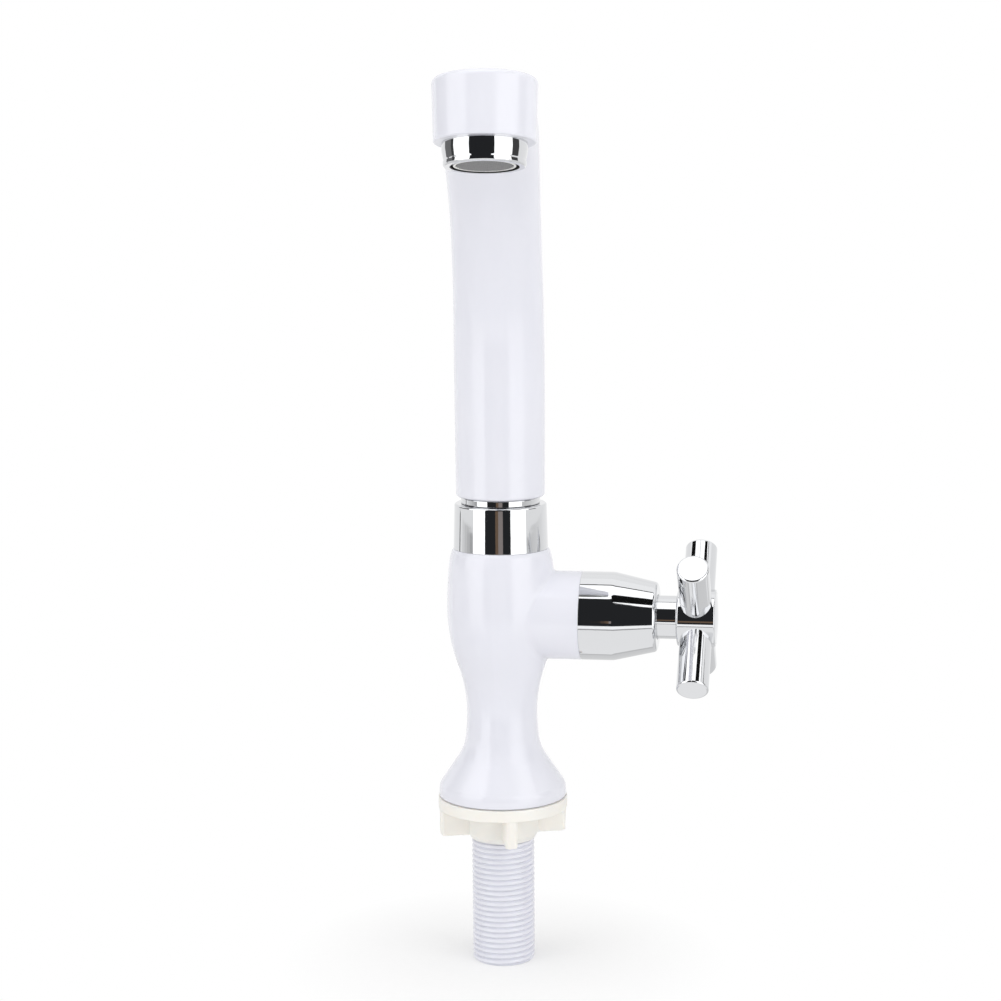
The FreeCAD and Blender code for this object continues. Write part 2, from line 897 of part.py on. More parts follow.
def turned_tool(name, corners, place):
    """A turned solid that is only a stage in another piece."""
    body = turned(name, corners, place)
    sub_parts.remove(body)
    return body


def make_spout():
    bore = dim.tube_radius - dim.spout_wall
    oval_width = drum_radius + dim.drum_draft / 2 - dim.oval_inset
    stem = turned_tool("spout_stem", [
        (0, tube_bottom),
        (dim.tube_radius, tube_bottom, dim.tube_round),
        (dim.tube_radius + dim.stem_flare, stem_top),
        (0, stem_top),
    ], swing)
    bend = loft("spout_bend", bend_sections("bend", dim.tube_radius + dim.stem_flare, oval_width, oval_thickness))
    drum = turned_tool("spout_drum", [
        (0, 0),
        (0, -drum_height - dim.drum_crown),
        (dim.crown_flat, -drum_height - dim.drum_crown, dim.crown_blend),
        (drum_radius + dim.drum_draft, -drum_height, dim.drum_top_round),
        (drum_radius, 0, dim.drum_round),
    ], outlet_place)
    shell = doc.addObject("Part::MultiFuse", "spout_outside")
    shell.Shapes = [stem, bend, drum]
    stem_bore = turned_tool("stem_bore", [
        (0, tube_bottom),
        (bore, tube_bottom),
        (bore, stem_top),
        (0, stem_top),
    ], swing)
    water_radius = dim.aerator_radius - dim.aerator_seal_width
    bore_width = water_radius - dim.oval_inset
    bore_thickness = oval_thickness - dim.spout_wall
    bend_bore = loft("bend_bore", bend_sections("bore", bore, bore_width, bore_thickness))
    drum_bore = turned_tool("drum_bore", [
        (0, 0),
        (0, dim.drum_roof - drum_height),
        (water_radius, dim.drum_roof - drum_height),
        (water_radius, -cavity_depth),
        (dim.aerator_radius + dim.thread_gap, -cavity_depth),
        (dim.aerator_radius + dim.thread_gap, 0),
    ], outlet_place)
    waterway = doc.addObject("Part::MultiFuse", "spout_waterway")
    waterway.Shapes = [stem_bore, bend_bore, drum_bore]
    spout = doc.addObject("Part::Cut", "spout_tube")
    spout.Label = "spout_tube"
    spout.Base = shell
    spout.Tool = waterway
    sub_parts.append(spout)


make_spout()


# Aerator: a chromed ring that screws into the drum and holds a core, a mesh and a seal

def make_aerator():
    inner = dim.aerator_radius - dim.aerator_wall
    lip_top = dim.aerator_drop - dim.aerator_lip
    skirt = dim.aerator_radius + dim.aerator_flare
    turned("aerator_housing", [
        (inner, -dim.aerator_thread),
        (dim.aerator_radius, -dim.aerator_thread),
        (dim.aerator_radius, 0),
        (skirt, 0),
        (dim.aerator_radius, dim.aerator_drop - dim.aerator_bead),
        (dim.aerator_radius, dim.aerator_drop),
        (dim.aerator_lip_radius, dim.aerator_drop),
        (dim.aerator_lip_radius, lip_top),
        (inner, lip_top),
    ], outlet_place)
    seal_inner = dim.aerator_radius - dim.aerator_seal_width
    ring("aerator_washer", seal_inner, dim.aerator_radius, -cavity_depth, -dim.aerator_thread, outlet_place)
    core_radius = inner - dim.disc_gap
    nose = dim.aerator_lip_radius - dim.core_nose_gap
    core_bottom = dim.aerator_drop - dim.core_recess
    mesh_bottom = core_bottom - dim.mesh_recess
    core = new_body("aerator_core", outlet_place)
    revolve(core, "core_turned", [
        (0, -dim.aerator_thread),
        (core_radius, -dim.aerator_thread),
        (core_radius, lip_top - dim.press_gap),
        (nose, lip_top - dim.press_gap),
        (nose, core_bottom),
        (dim.mesh_radius - dim.mesh_rim, core_bottom),
        (dim.mesh_radius - dim.mesh_rim, mesh_bottom),
        (dim.mesh_radius, mesh_bottom),
        (dim.mesh_radius, mesh_bottom - dim.mesh_thickness),
        (dim.mesh_radius - dim.core_flange, mesh_bottom - dim.mesh_thickness),
        (dim.mesh_radius - dim.core_flange, dim.core_web - dim.aerator_thread),
        (0, dim.core_web - dim.aerator_thread),
    ])
    hole = circle_sketch(
        core, "core_hole_circle", "XY_Plane", dim.core_hole_circle, 0, dim.core_hole_radius,
        lift=dim.core_web - dim.aerator_thread)
    first_hole = extrude(core, "core_hole", hole, dim.core_web, kind="Pocket")
    repeat(core, "core_holes", first_hole, CORE_HOLES)
    turned("aerator_mesh", [
        (0, mesh_bottom - dim.mesh_thickness + dim.press_gap),
        (dim.mesh_radius - dim.press_gap, mesh_bottom - dim.mesh_thickness + dim.press_gap),
        (dim.mesh_radius - dim.press_gap, mesh_bottom - dim.press_gap),
        (0, mesh_bottom - dim.press_gap),
    ], outlet_place)


make_aerator()

# Heights along the valve's axis, from the boss face out

seat = -dim.valve_depth
fixed_disc_bottom = seat + dim.seat_seal_height
fixed_disc_top = fixed_disc_bottom + dim.fixed_disc_height
drive_disc_top = fixed_disc_top + dim.drive_disc_height
carrier_top = drive_disc_top + dim.carrier_height
washer_top = carrier_top + dim.washer_thickness
cavity_top = washer_top + dim.slide_gap
hex_top = dim.flange_height + dim.hex_height
gland_top = hex_top + dim.gland_length
clip_start = gland_top + dim.slide_gap
hub_start = dim.bonnet_length + dim.handle_neck_length
hub_end = hub_start + dim.hub_length
insert_bottom = hub_start + dim.insert_floor
spindle_tip = insert_bottom + dim.spline_length
insert_top = spindle_tip + dim.slide_gap + dim.insert_web


# Cartridge: the brass body of the quarter-turn valve, with its fixed disc and its seals

def make_cartridge():
    body = new_body("cartridge_body", valve_place)
    seal_root = dim.valve_thread_radius - dim.mouth_seal_depth
    revolve(body, "cartridge_turned", [
        (gland_bore, cavity_top),
        (cavity_radius, cavity_top),
        (cavity_radius, seat + dim.barrel_end_gap),
        (barrel_radius, seat + dim.barrel_end_gap),
        (barrel_radius, -dim.valve_thread_length),
        (dim.valve_thread_radius, -dim.valve_thread_length),
        (dim.valve_thread_radius, -dim.mouth_seal_width),
        (seal_root, -dim.mouth_seal_width),
        (seal_root, 0),
        (flange_radius, 0),
        (flange_radius, dim.flange_height),
        (dim.gland_radius, dim.flange_height),
        (dim.gland_radius, gland_top),
        (gland_bore, gland_top),
    ])
    hexagon = []
    for index in range(HEXAGON):
        angle = 2 * math.pi * index / HEXAGON
        corner = flange_radius - dim.hex_inset
        hexagon.append((corner * math.cos(angle), corner * math.sin(angle)))
    flats = Outline(body, "spanner_flats_outline", "XY_Plane", hexagon, lift=dim.flange_height)
    extrude(body, "spanner_flats", flats.sketch, dim.hex_height)
    revolve(body, "spindle_bore", [
        (0, cavity_top),
        (gland_bore, cavity_top),
        (gland_bore, gland_top),
        (0, gland_top),
    ], kind="Groove")
    slot_half = dim.lug_width / 2 + dim.disc_gap
    slot = Outline(body, "lug_slot_outline", "YZ_Plane", [
        (-slot_half, seat + dim.barrel_end_gap),
        (slot_half, seat + dim.barrel_end_gap),
        (slot_half, fixed_disc_top),
        (-slot_half, fixed_disc_top),
    ])
    extrude(body, "lug_slot", slot.sketch, 3 * barrel_radius, kind="Pocket", both_ways=True)
    window_half = dim.window_width / 2
    window = Outline(body, "window_outline", "XZ_Plane", [
        (-window_half, fixed_disc_top + dim.window_margin),
        (window_half, fixed_disc_top + dim.window_margin),
        (window_half, -dim.valve_thread_length - dim.window_margin),
        (-window_half, -dim.valve_thread_length - dim.window_margin),
    ])
    extrude(body, "window", window.sketch, 3 * barrel_radius, kind="Pocket", both_ways=True)
    ring(
        "cartridge_seal",
        seal_root + dim.press_gap,
        dim.valve_thread_radius,
        dim.press_gap - dim.mouth_seal_width,
        -dim.press_gap,
        valve_place,
    )
    ring(
        "seat_seal",
        disc_radius - dim.seat_seal_width,
        disc_radius,
        seat,
        fixed_disc_bottom,
        valve_place,
    )


make_cartridge()


# Ceramic discs: water passes where their openings line up, after a quarter turn

def disc_ports(body, name, role, bottom, top):
    """Two opposite sectors cut through a disc."""
    port = revolve(body, name, [
        (dim.disc_hub_radius, bottom),
        (dim.disc_port_radius, bottom),
        (dim.disc_port_radius, top),
        (dim.disc_hub_radius, top),
    ], kind="Groove", role=role, angle=dim.disc_port_angle)
    repeat(body, f"{name}s", port, 2)


def make_discs():
    fixed = new_body("fixed_disc", valve_place)
    revolve(fixed, "fixed_disc_turned", [
        (0, fixed_disc_bottom),
        (disc_radius, fixed_disc_bottom),
        (disc_radius, fixed_disc_top),
        (0, fixed_disc_top),
    ])
    lug = Outline(fixed, "lug_outline", "XY_Plane", [
        (-barrel_radius, -dim.lug_width / 2),
        (barrel_radius, -dim.lug_width / 2),
        (barrel_radius, dim.lug_width / 2),
        (-barrel_radius, dim.lug_width / 2),
    ], lift=fixed_disc_bottom)
    extrude(fixed, "lugs", lug.sketch, dim.fixed_disc_height)
    disc_ports(fixed, "fixed_port", "XZ_Plane", fixed_disc_bottom, fixed_disc_top)

    drive = new_body("drive_disc", valve_place)
    revolve(drive, "drive_disc_turned", [
        (0, fixed_disc_top),
        (disc_radius, fixed_disc_top),
        (disc_radius, drive_disc_top),
        (0, drive_disc_top),
    ])
    slot = Outline(drive, "drive_slot_outline", "YZ_Plane", [
        (-dim.slot_width / 2, drive_disc_top - dim.slot_depth),
        (dim.slot_width / 2, drive_disc_top - dim.slot_depth),
        (dim.slot_width / 2, drive_disc_top),
        (-dim.slot_width / 2, drive_disc_top),
    ])
    extrude(drive, "drive_slot", slot.sketch, 3 * disc_radius, kind="Pocket", both_ways=True)
    disc_ports(drive, "drive_port", "YZ_Plane", fixed_disc_top, drive_disc_top)


make_discs()


# Spindle: the brass stem that carries the turn from the handle to the drive disc

def make_spindle():
    body = new_body("spindle", valve_place)
    shaft = dim.spindle_radius
    seal_root = shaft - dim.spindle_seal_depth
    clip_root = shaft - dim.spindle_clip_depth
    clip_end = clip_start + dim.spindle_clip_thickness
    corners = [
        (0, drive_disc_top),
        (disc_radius, drive_disc_top),
        (disc_radius, carrier_top),
        (shaft, carrier_top),
    ]
    for step in range(2):
        bottom = dim.spindle_seal_rise + step * dim.spindle_seal_pitch
        top = bottom + dim.spindle_seal_width
        corners += [
            (shaft, bottom),
            (seal_root, bottom),
            (seal_root, top),
            (shaft, top),
        ]
        ring(
            f"spindle_seal_{step + 1}",
            seal_root + dim.press_gap,
            shaft,
            bottom + dim.press_gap,
            top - dim.press_gap,
            valve_place,
        )
    corners += [
        (shaft, clip_start),
        (clip_root, clip_start),
        (clip_root, clip_end),
        (shaft, clip_end),
        (shaft, insert_bottom - dim.slide_gap),
        (0, insert_bottom - dim.slide_gap),
    ]
    revolve(body, "spindle_turned", corners)
    tongue_half = dim.slot_width / 2 - dim.journal_gap
    tongue = Outline(body, "tongue_outline", "YZ_Plane", [
        (-tongue_half, drive_disc_top - dim.slot_depth + dim.slide_gap),
        (tongue_half, drive_disc_top - dim.slot_depth + dim.slide_gap),
        (tongue_half, drive_disc_top),
        (-tongue_half, drive_disc_top),
    ])
    extrude(body, "tongue", tongue.sketch, 2 * dim.disc_port_radius, both_ways=True)
    spline_start = insert_bottom - dim.slide_gap
    spline = Outline(
        body, "spline_outline", "XY_Plane", star(SPLINE_TEETH, shaft, shaft - dim.spline_depth),
        lift=spline_start)
    extrude(body, "spline", spline.sketch, spindle_tip - spline_start)
    tapped = circle_sketch(
        body, "screw_hole_circle", "XY_Plane", 0, 0, dim.screw_radius + dim.thread_gap, lift=spindle_tip)
    hole_depth = dim.screw_length - dim.insert_web + dim.clear_gap
    extrude(body, "screw_hole", tapped, hole_depth, kind="Pocket")
    ring(
        "friction_washer",
        gland_bore,
        disc_radius,
        carrier_top,
        washer_top,
        valve_place,
    )
    ring(
        "spindle_clip",
        clip_root + dim.press_gap,
        dim.spindle_clip_radius,
        clip_start + dim.press_gap,
        clip_end - dim.press_gap,
        valve_place,
        360 - 2 * dim.clip_gap_angle,
    )


make_spindle()


# Bonnet: the chromed bell that screws down over the cartridge

def make_bonnet():
    land_radius = dim.gland_radius + dim.thread_gap
    land_top = gland_top + dim.clear_gap
    land_bottom = land_top - dim.bonnet_land
    throat = dim.handle_neck_radius + dim.clear_gap
    turned("bonnet", [
        (bonnet_inner, 0),
        (boss_radius, 0),
        (boss_radius, dim.bonnet_straight, dim.bonnet_shoulder),
        (dim.bonnet_end_radius, dim.bonnet_length, dim.bonnet_round),
        (throat, dim.bonnet_length),
        (throat, land_top),
        (land_radius, land_top),
        (land_radius, land_bottom),
        (bonnet_inner - dim.bonnet_wall, land_bottom),
        (bonnet_inner, hex_top + dim.clear_gap),
    ], valve_place)


make_bonnet()


# Cross handle: a chromed casting with four round arms, over a splined insert

def make_handle():
    body = new_body("cross_handle", cross_place)
    neck_start = dim.bonnet_length - dim.handle_neck_entry
    revolve(body, "hub", [
        (0, neck_start),
        (dim.handle_neck_radius, neck_start),
        (dim.handle_neck_radius, hub_start),
        (dim.hub_radius, hub_start, dim.hub_round),
        (dim.hub_radius, hub_end, dim.hub_round),
        (0, hub_end),
    ])
    arm = revolve(body, "arm", [
        (0, 0),
        (dim.arm_reach, 0),
        (dim.arm_reach, dim.arm_radius, dim.arm_round),
        (0, dim.arm_radius),
    ], axis="H_Axis", shift=hub_start + dim.hub_length / 2)
    repeat(body, "arms", arm, ARMS)
    rebate_floor = hub_end - dim.cap_rebate
    revolve(body, "hub_bores", [
        (0, neck_start),
        (dim.handle_neck_bore, neck_start),
        (dim.handle_neck_bore, insert_bottom),
        (dim.insert_radius, insert_bottom),
        (dim.insert_radius, rebate_floor),
        (dim.cap_radius + dim.press_gap, rebate_floor),
        (dim.cap_radius + dim.press_gap, hub_end),
        (0, hub_end),
    ], kind="Groove")

    insert = new_body("handle_insert", valve_place)
    revolve(insert, "insert_turned", [
        (0, insert_bottom),
        (dim.insert_radius - dim.press_gap, insert_bottom),
        (dim.insert_radius - dim.press_gap, insert_top),
        (0, insert_top),
    ])
    spline_shape = star(
        SPLINE_TEETH,
        dim.spindle_radius + dim.journal_gap,
        dim.spindle_radius - dim.spline_depth + dim.journal_gap,
    )
    spline = Outline(insert, "insert_spline_outline", "XY_Plane", spline_shape, lift=insert_bottom)
    spline_depth = spindle_tip - insert_bottom + dim.slide_gap
    extrude(insert, "insert_spline", spline.sketch, spline_depth, kind="Pocket", reverse=True)
    screw_hole = circle_sketch(
        insert, "insert_hole_circle", "XY_Plane", 0, 0, dim.screw_radius + dim.clear_gap, lift=insert_top)
    extrude(insert, "insert_hole", screw_hole, dim.insert_web + dim.slide_gap, kind="Pocket")

    head_top = insert_top + dim.screw_head_height
    screw = new_body("handle_screw", valve_place)
    revolve(screw, "screw_turned", [
        (0, insert_top - dim.screw_length),
        (dim.screw_radius, insert_top - dim.screw_length),
        (dim.screw_radius, insert_top),
        (dim.screw_head_radius, insert_top),
        (dim.screw_head_radius, head_top),
        (0, head_top),
    ])
    driver = Outline(screw, "driver_slot_outline", "YZ_Plane", [
        (-dim.screw_slot_width / 2, head_top - dim.screw_slot_depth),
        (dim.screw_slot_width / 2, head_top - dim.screw_slot_depth),
        (dim.screw_slot_width / 2, head_top),
        (-dim.screw_slot_width / 2, head_top),
    ])
    extrude(screw, "driver_slot", driver.sketch, 3 * dim.screw_head_radius, kind="Pocket", both_ways=True)

    skirt_bottom = head_top - dim.screw_slot_depth
    turned("index_cap", [
        (0, rebate_floor),
        (dim.insert_radius - dim.cap_skirt, rebate_floor),
        (dim.insert_radius - dim.cap_skirt, skirt_bottom),
        (dim.insert_radius - dim.press_gap, skirt_bottom),
        (dim.insert_radius - dim.press_gap, rebate_floor),
        (dim.cap_radius, rebate_floor),
        (dim.cap_radius, hub_end),
        (0, hub_end + dim.cap_dome, "domed"),
    ], valve_place)


make_handle()


# Checks, then one STEP file for each piece

def check_document():
    doc.recompute()
    for item in doc.Objects:
        if "Invalid" in item.State or "Error" in item.State:
            raise RuntimeError(f"{item.Label} did not recompute: {item.State}")
        if item.TypeId in ("PartDesign::Groove", "PartDesign::Pocket"):
            if item.Shape.Volume >= item.BaseFeature.Shape.Volume:
                raise RuntimeError(f"{item.Label} cut nothing")
    for piece in sub_parts:
        if piece.Shape.isNull() or not piece.Shape.isValid():
            raise RuntimeError(f"{piece.Label} has no valid shape")
        if len(piece.Shape.Solids) != 1:
            raise RuntimeError(f"{piece.Label} is not one solid")


check_document()
os.makedirs("parts", exist_ok=True)
for piece in sub_parts:
    piece.Shape.exportStep(f"parts/{piece.Label}.step")
    print(f"{piece.Label}: {piece.Shape.Volume:.1f} mm3")
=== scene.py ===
from math import asin, atan2, ceil, cos, pi, radians, sin, sqrt, tan

import bmesh
import bpy
from mathutils import Matrix, Vector


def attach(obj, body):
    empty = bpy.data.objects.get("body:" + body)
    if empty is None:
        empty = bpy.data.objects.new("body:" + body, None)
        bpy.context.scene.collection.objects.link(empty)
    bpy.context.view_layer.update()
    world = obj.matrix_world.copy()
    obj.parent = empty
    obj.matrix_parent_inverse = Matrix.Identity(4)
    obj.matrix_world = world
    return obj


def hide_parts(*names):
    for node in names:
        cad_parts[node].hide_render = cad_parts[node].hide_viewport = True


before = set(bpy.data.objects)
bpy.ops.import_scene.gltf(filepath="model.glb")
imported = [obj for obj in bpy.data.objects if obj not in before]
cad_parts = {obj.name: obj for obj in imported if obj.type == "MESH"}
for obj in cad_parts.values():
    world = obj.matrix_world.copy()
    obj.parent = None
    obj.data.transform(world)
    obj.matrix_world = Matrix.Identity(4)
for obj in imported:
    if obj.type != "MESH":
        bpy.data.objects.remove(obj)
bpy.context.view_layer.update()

# Column moulding
# One injection moulding of white ABS: a threaded shank, a flared base, the waisted column, the
# valve's boss and the screwed neck. It comes out of a polished mould, so it is glossy all over.

# The tap's sizes are in millimetres, and add_piece brings each mesh to metres.
MM = 0.001

def paint(hex_code):
    """An sRGB hex colour as the linear colour that a socket takes."""
    shares = [int(hex_code[i:i + 2], 16) / 255 for i in (1, 3, 5)]
    return [s / 12.92 if s <= 0.04045 else ((s + 0.055) / 1.055) ** 2.4 for s in shares] + [1.0]

def add_node(tree, kind, inputs=None, **settings):
    """Adds a shader node. inputs gives each socket a plain value or another node's output."""
    node = tree.nodes.new("ShaderNode" + kind)
    for name, value in settings.items():
        setattr(node, name, value)
    for socket, value in (inputs or {}).items():
        if isinstance(value, bpy.types.NodeSocket):
            tree.links.new(value, node.inputs[socket])
        else:
            node.inputs[socket].default_value = value
    return node

def new_material(name):
    """A material with an empty node tree."""
    material = bpy.data.materials.new(name)
    material.use_nodes = True
    material.node_tree.nodes.clear()
    return material, material.node_tree

# Gloss-moulded ABS: bluish white and bright, with crisp reflections that a faint orange peel
# and slow flow marks from the mould just disturb.
white_abs, tree = new_material("gloss moulded white ABS")
peel_mm = 1.6
flow_mm = 22.0
place = add_node(tree, "TexCoord").outputs["Object"]
peel = add_node(tree, "TexNoise", {"Vector": place, "Scale": 1 / (peel_mm * MM), "Detail": 2.0})
flow = add_node(tree, "TexNoise", {"Vector": place, "Scale": 1 / (flow_mm * MM), "Detail": 3.0})
tone = add_node(tree, "Mix", {"Factor": flow.outputs["Fac"], "A": paint("#E7E8F1"), "B": paint("#EDEDF4")},
                data_type="RGBA")
gloss = add_node(tree, "MapRange", {"Value": flow.outputs["Fac"], "To Min": 0.13, "To Max": 0.19})
dimples = add_node(tree, "Bump", {"Height": peel.outputs["Fac"], "Strength": 0.25, "Distance": 0.004 * MM})
surface = add_node(tree, "BsdfPrincipled", {"Base Color": tone.outputs["Result"],
                   "Roughness": gloss.outputs["Result"], "IOR": 1.53, "Normal": dimples.outputs["Normal"]})
add_node(tree, "OutputMaterial", {"Surface": surface.outputs["BSDF"]})

def soften(corners):
    """The points of a profile in mm. Each corner is (radius, height) or (radius, height, rounding)."""
    arc_step = radians(8)
    points = []
    for i, corner in enumerate(corners):
        here = Vector(corner[:2])
        if len(corner) < 3:
            points.append(here)
            continue
        rounding = corner[2]
        back = (Vector(corners[i - 1][:2]) - here).normalized()
        ahead = (Vector(corners[(i + 1) % len(corners)][:2]) - here).normalized()
        half = back.angle(ahead) / 2
        centre = here + (back + ahead).normalized() * rounding / sin(half)
        start = here + back * rounding / tan(half) - centre
        end = here + ahead * rounding / tan(half) - centre
        turn = pi - 2 * half
        steps = max(3, ceil(turn / arc_step))
        for k in range(steps + 1):
            share = k / steps
            points.append(centre + (start * sin((1 - share) * turn) + end * sin(share * turn)) / sin(turn))
    return points

def arc_on(points, heading, end, steps=12):
    """Carries a profile on by an arc that leaves along heading and reaches end; gives the new heading."""
    start = points[-1]
    chord = Vector(end) - start
    turn = atan2(heading.x * chord.y - heading.y * chord.x, heading.dot(chord))
    for k in range(1, steps + 1):
        share = k / steps
        reach = chord.length * sin(turn * share) / sin(turn)
        points.append(start + Matrix.Rotation(turn * share, 2) @ heading * reach)
    return Matrix.Rotation(2 * turn, 2) @ heading

def skin(mesh, rings, climb=0, closed=False):
    """Quads over rings of points. A ring of one point is a pole, and climb is the seam's rise in rings."""
    rows = [[mesh.verts.new(point) for point in ring] for ring in rings]
    if closed:
        rows.append(rows[0])
    last = len(rows) - 1
    for k in range(-climb, last):
        low = rows[max(k, 0)]
        high = rows[max(k + 1, 0)]
        for i in range(max(len(low), len(high))):
            seam = i == len(low) - 1 and climb
            if k < 0 and not seam:
                continue
            beside = rows[min(k + climb, last)] if seam else low
            above = rows[min(k + climb + 1, last)] if seam else high
            corners = [low[i % len(low)], beside[(i + 1) % len(beside)], above[(i + 1) % len(above)],
                       high[i % len(high)]]
            corners = list(dict.fromkeys(corners))
            if len(corners) > 2:
                mesh.faces.new(corners)
    return mesh

def circle(radius, height, sides):
    """A ring of points about Z, or one point on the axis."""
    if radius < 1e-6:
        return [Vector((0, 0, height))]
    return [Vector((radius * cos(2 * pi * i / sides), radius * sin(2 * pi * i / sides), height))
            for i in range(sides)]

def turned(profile, sides=96, closed=True):
    """A turned shape in mm about Z from a profile of (radius, height) points."""
    return skin(bmesh.new(), [circle(radius, height, sides) for radius, height in profile], closed=closed)

def weld(mesh):
    """Joins the points of a mesh in mm that are within half a micron, and turns its faces outward."""
    bmesh.ops.remove_doubles(mesh, verts=mesh.verts, dist=0.0005)
    bmesh.ops.recalc_face_normals(mesh, faces=mesh.faces)

def add_piece(name, mesh, material, body, nodes=(), place=Matrix(), crease=32):
    """Makes a piece from a mesh in mm, set at place, that rides on a body and stands for CAD nodes."""
    weld(mesh)
    bmesh.ops.transform(mesh, matrix=Matrix.Scale(MM, 4) @ place, verts=mesh.verts)
    data = bpy.data.meshes.new(name)
    mesh.to_mesh(data)
    mesh.free()
    data.materials.append(material)
    data.shade_smooth()
    data.set_sharp_from_angle(angle=radians(crease))
    piece = bpy.data.objects.new(name, data)
    bpy.context.collection.objects.link(piece)
    even = piece.modifiers.new("even shading", "WEIGHTED_NORMAL")
    even.keep_sharp = True
    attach(piece, body)
    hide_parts(*nodes)
    return piece

# The column's outline goes up from the base's rim over the flare, and on in arcs through the waist
# and the belly to the collar's seat. Its points are (radius, height).
base_r = 21.2
base_z = 0.5
rim_top = 2.5
flare_foot = (20.2, 5.3)
flare_top = (15.05, 12.9)
waist_and_belly = ((12.1, 21.2), (11.75, 27.0), (14.55, 44.6), (18.0, 65.35), (17.3, 78.0), (16.3, 83.0))
seat_r = 15.62
seat_z = 83.9
outline = [Vector((base_r, base_z)), Vector((base_r, rim_top))]
arc_on(outline, Vector((0, 1)), flare_foot)
outline.append(Vector(flare_top))
heading = (outline[-1] - outline[-2]).normalized()
for point in waist_and_belly:
    heading = arc_on(outline, heading, point)
outline.append(Vector((seat_r, seat_z)))

column_sides = 120
shank_r = 10.4775
shank_end = -56.8
end_chamfer = 0.8
bore_r = 5.5
bore_top = 66.0
bore_tip = 68.0
neck_r = 13.0
neck_top = 93.2
neck_chamfer = 0.8
socket_r = 10.45
socket_floor = 78.5
bore = [(0, bore_tip), (bore_r, bore_top), (bore_r, shank_end), (shank_r - end_chamfer, shank_end)]
column = turned(bore, column_sides, closed=False)
neck = [(neck_r, seat_z), (neck_r, neck_top - neck_chamfer), (neck_r - neck_chamfer, neck_top),
        (socket_r, neck_top), (socket_r, socket_floor), (0, socket_floor)]
above_shank = [Vector((shank_r, base_z))] + outline + [Vector(point) for point in neck]
skin(column, [circle(radius, height, column_sides) for radius, height in above_shank])

# The half-inch pipe thread: a right-hand helix of wide rounded crests and narrow roots. Its rows
# climb one pitch in a turn, and it runs out under the base and in the lead chamfer at the end. Its
# form is (share of the pitch, depth), and it is shallower than the standard's 1.16 mm.
pitch = 1.814
thread_form = [(0.0, 0.0), (0.13, 0.03), (0.25, 0.13), (0.38, 0.56), (0.46, 0.82), (0.54, 0.82),
               (0.62, 0.56), (0.75, 0.13), (0.87, 0.03)]
thread_run_out = 2.4

def thread_radius(height, turns):
    """The shank's radius in mm at a height, where the helix has made so many turns."""
    phase = ((height - shank_end) / pitch - turns) % 1.0
    for (start, shallow), (end, deep) in zip(thread_form, thread_form[1:] + [(1.0, 0.0)]):
        if start <= phase <= end:
            depth = shallow + (deep - shallow) * (phase - start) / (end - start)
    fade = min(1.0, max(0.0, (base_z - height) / thread_run_out))
    lead_in = shank_r - end_chamfer + (height - shank_end)
    return min(shank_r - depth * fade, lead_in)

thread_rows = []
turns_up = ceil((base_z - shank_end) / pitch) + 1
for turn_count in range(-1, turns_up + 1):
    for start, _ in thread_form:
        row = []
        for i in range(column_sides):
            share = i / column_sides
            height = shank_end + (turn_count + start + share) * pitch
            height = min(base_z, max(shank_end, height))
            radius = thread_radius(height, share)
            row.append(Vector((radius * cos(2 * pi * share), radius * sin(2 * pi * share), height)))
        thread_rows.append(row)
skin(column, thread_rows, climb=len(thread_form))

# The boss leaves the column through a small root blend. A frame of the column's own quads is
# taken out round it, and rings of points run from that frame to the root and out along the boss.
boss_z = 61.75
boss_r = 14.6
boss_face = 27.2
boss_edge_in = 0.2
boss_edge_back = 0.4
root_blend = 1.2
root_r = boss_r + root_blend
mouth_r = 10.5575
mouth_depth = 8.0
chamber_r = 10.18
chamber_floor = 8.5
frame_reach = (37.0, 80.6)
near_skin = 0.5
spread_steps = 6
blend_steps = 5

def column_radius(height):
    """The column's radius in mm at a height, read off its outline."""
    for low, high in zip(outline, outline[1:]):
        if low.y <= height <= high.y:
            return low.x + (high.x - low.x) * (height - low.y) / (high.y - low.y)

def on_column(angle, height):
    """A point of the column's surface."""
    radius = column_radius(height)
    return Vector((radius * cos(angle), radius * sin(angle), height))

def on_boss(radius, angle, x):
    """A point round the boss's axis, which runs along X."""
    return Vector((x, radius * cos(angle), boss_z + radius * sin(angle)))

frame_low, frame_high = [min((point.y for point in outline), key=lambda level: abs(level - reach))
                         for reach in frame_reach]

def in_frame(face):
    """Whether a face of the column's outer skin is inside the frame."""
    middle = face.calc_center_median()
    if middle.x <= 0 or not frame_low < middle.z < frame_high:
        return False
    return abs(middle.xy.length - column_radius(middle.z)) < near_skin

bmesh.ops.delete(column, geom=[face for face in column.faces if in_frame(face)], context="FACES")
quarter = column_sides // 4
frame_levels = [point.y for point in outline if frame_low <= point.y <= frame_high]
frame_angles = [2 * pi * i / column_sides for i in range(-quarter, quarter)]
border = [(angle, frame_low) for angle in frame_angles]
border += [(pi / 2, z) for z in frame_levels[:-1]]
border += [(-angle, frame_high) for angle in frame_angles]
border += [(-pi / 2, z) for z in reversed(frame_levels[1:])]
root = []
for angle, height in border:
    around = atan2(height - boss_z, column_radius(height) * angle)
    root_z = boss_z + root_r * sin(around)
    root.append((around, asin(root_r * cos(around) / column_radius(root_z)), root_z))
rings = []
for k in range(spread_steps + 1):
    share = k / spread_steps
    rings.append([on_column(angle + (root_angle - angle) * share, height + (root_z - height) * share)
                  for (angle, height), (_, root_angle, root_z) in zip(border, root)])
for k in range(1, blend_steps + 1):
    share = k / blend_steps
    ring = []
    for around, root_angle, root_z in root:
        start = on_column(root_angle, root_z)
        corner_z = boss_z + boss_r * sin(around)
        corner = on_column(asin(boss_r * cos(around) / column_radius(corner_z)), corner_z)
        end = corner + Vector((root_blend, 0, 0))
        ring.append(start * (1 - share) ** 2 + corner * 2 * share * (1 - share) + end * share ** 2)
    rings.append(ring)
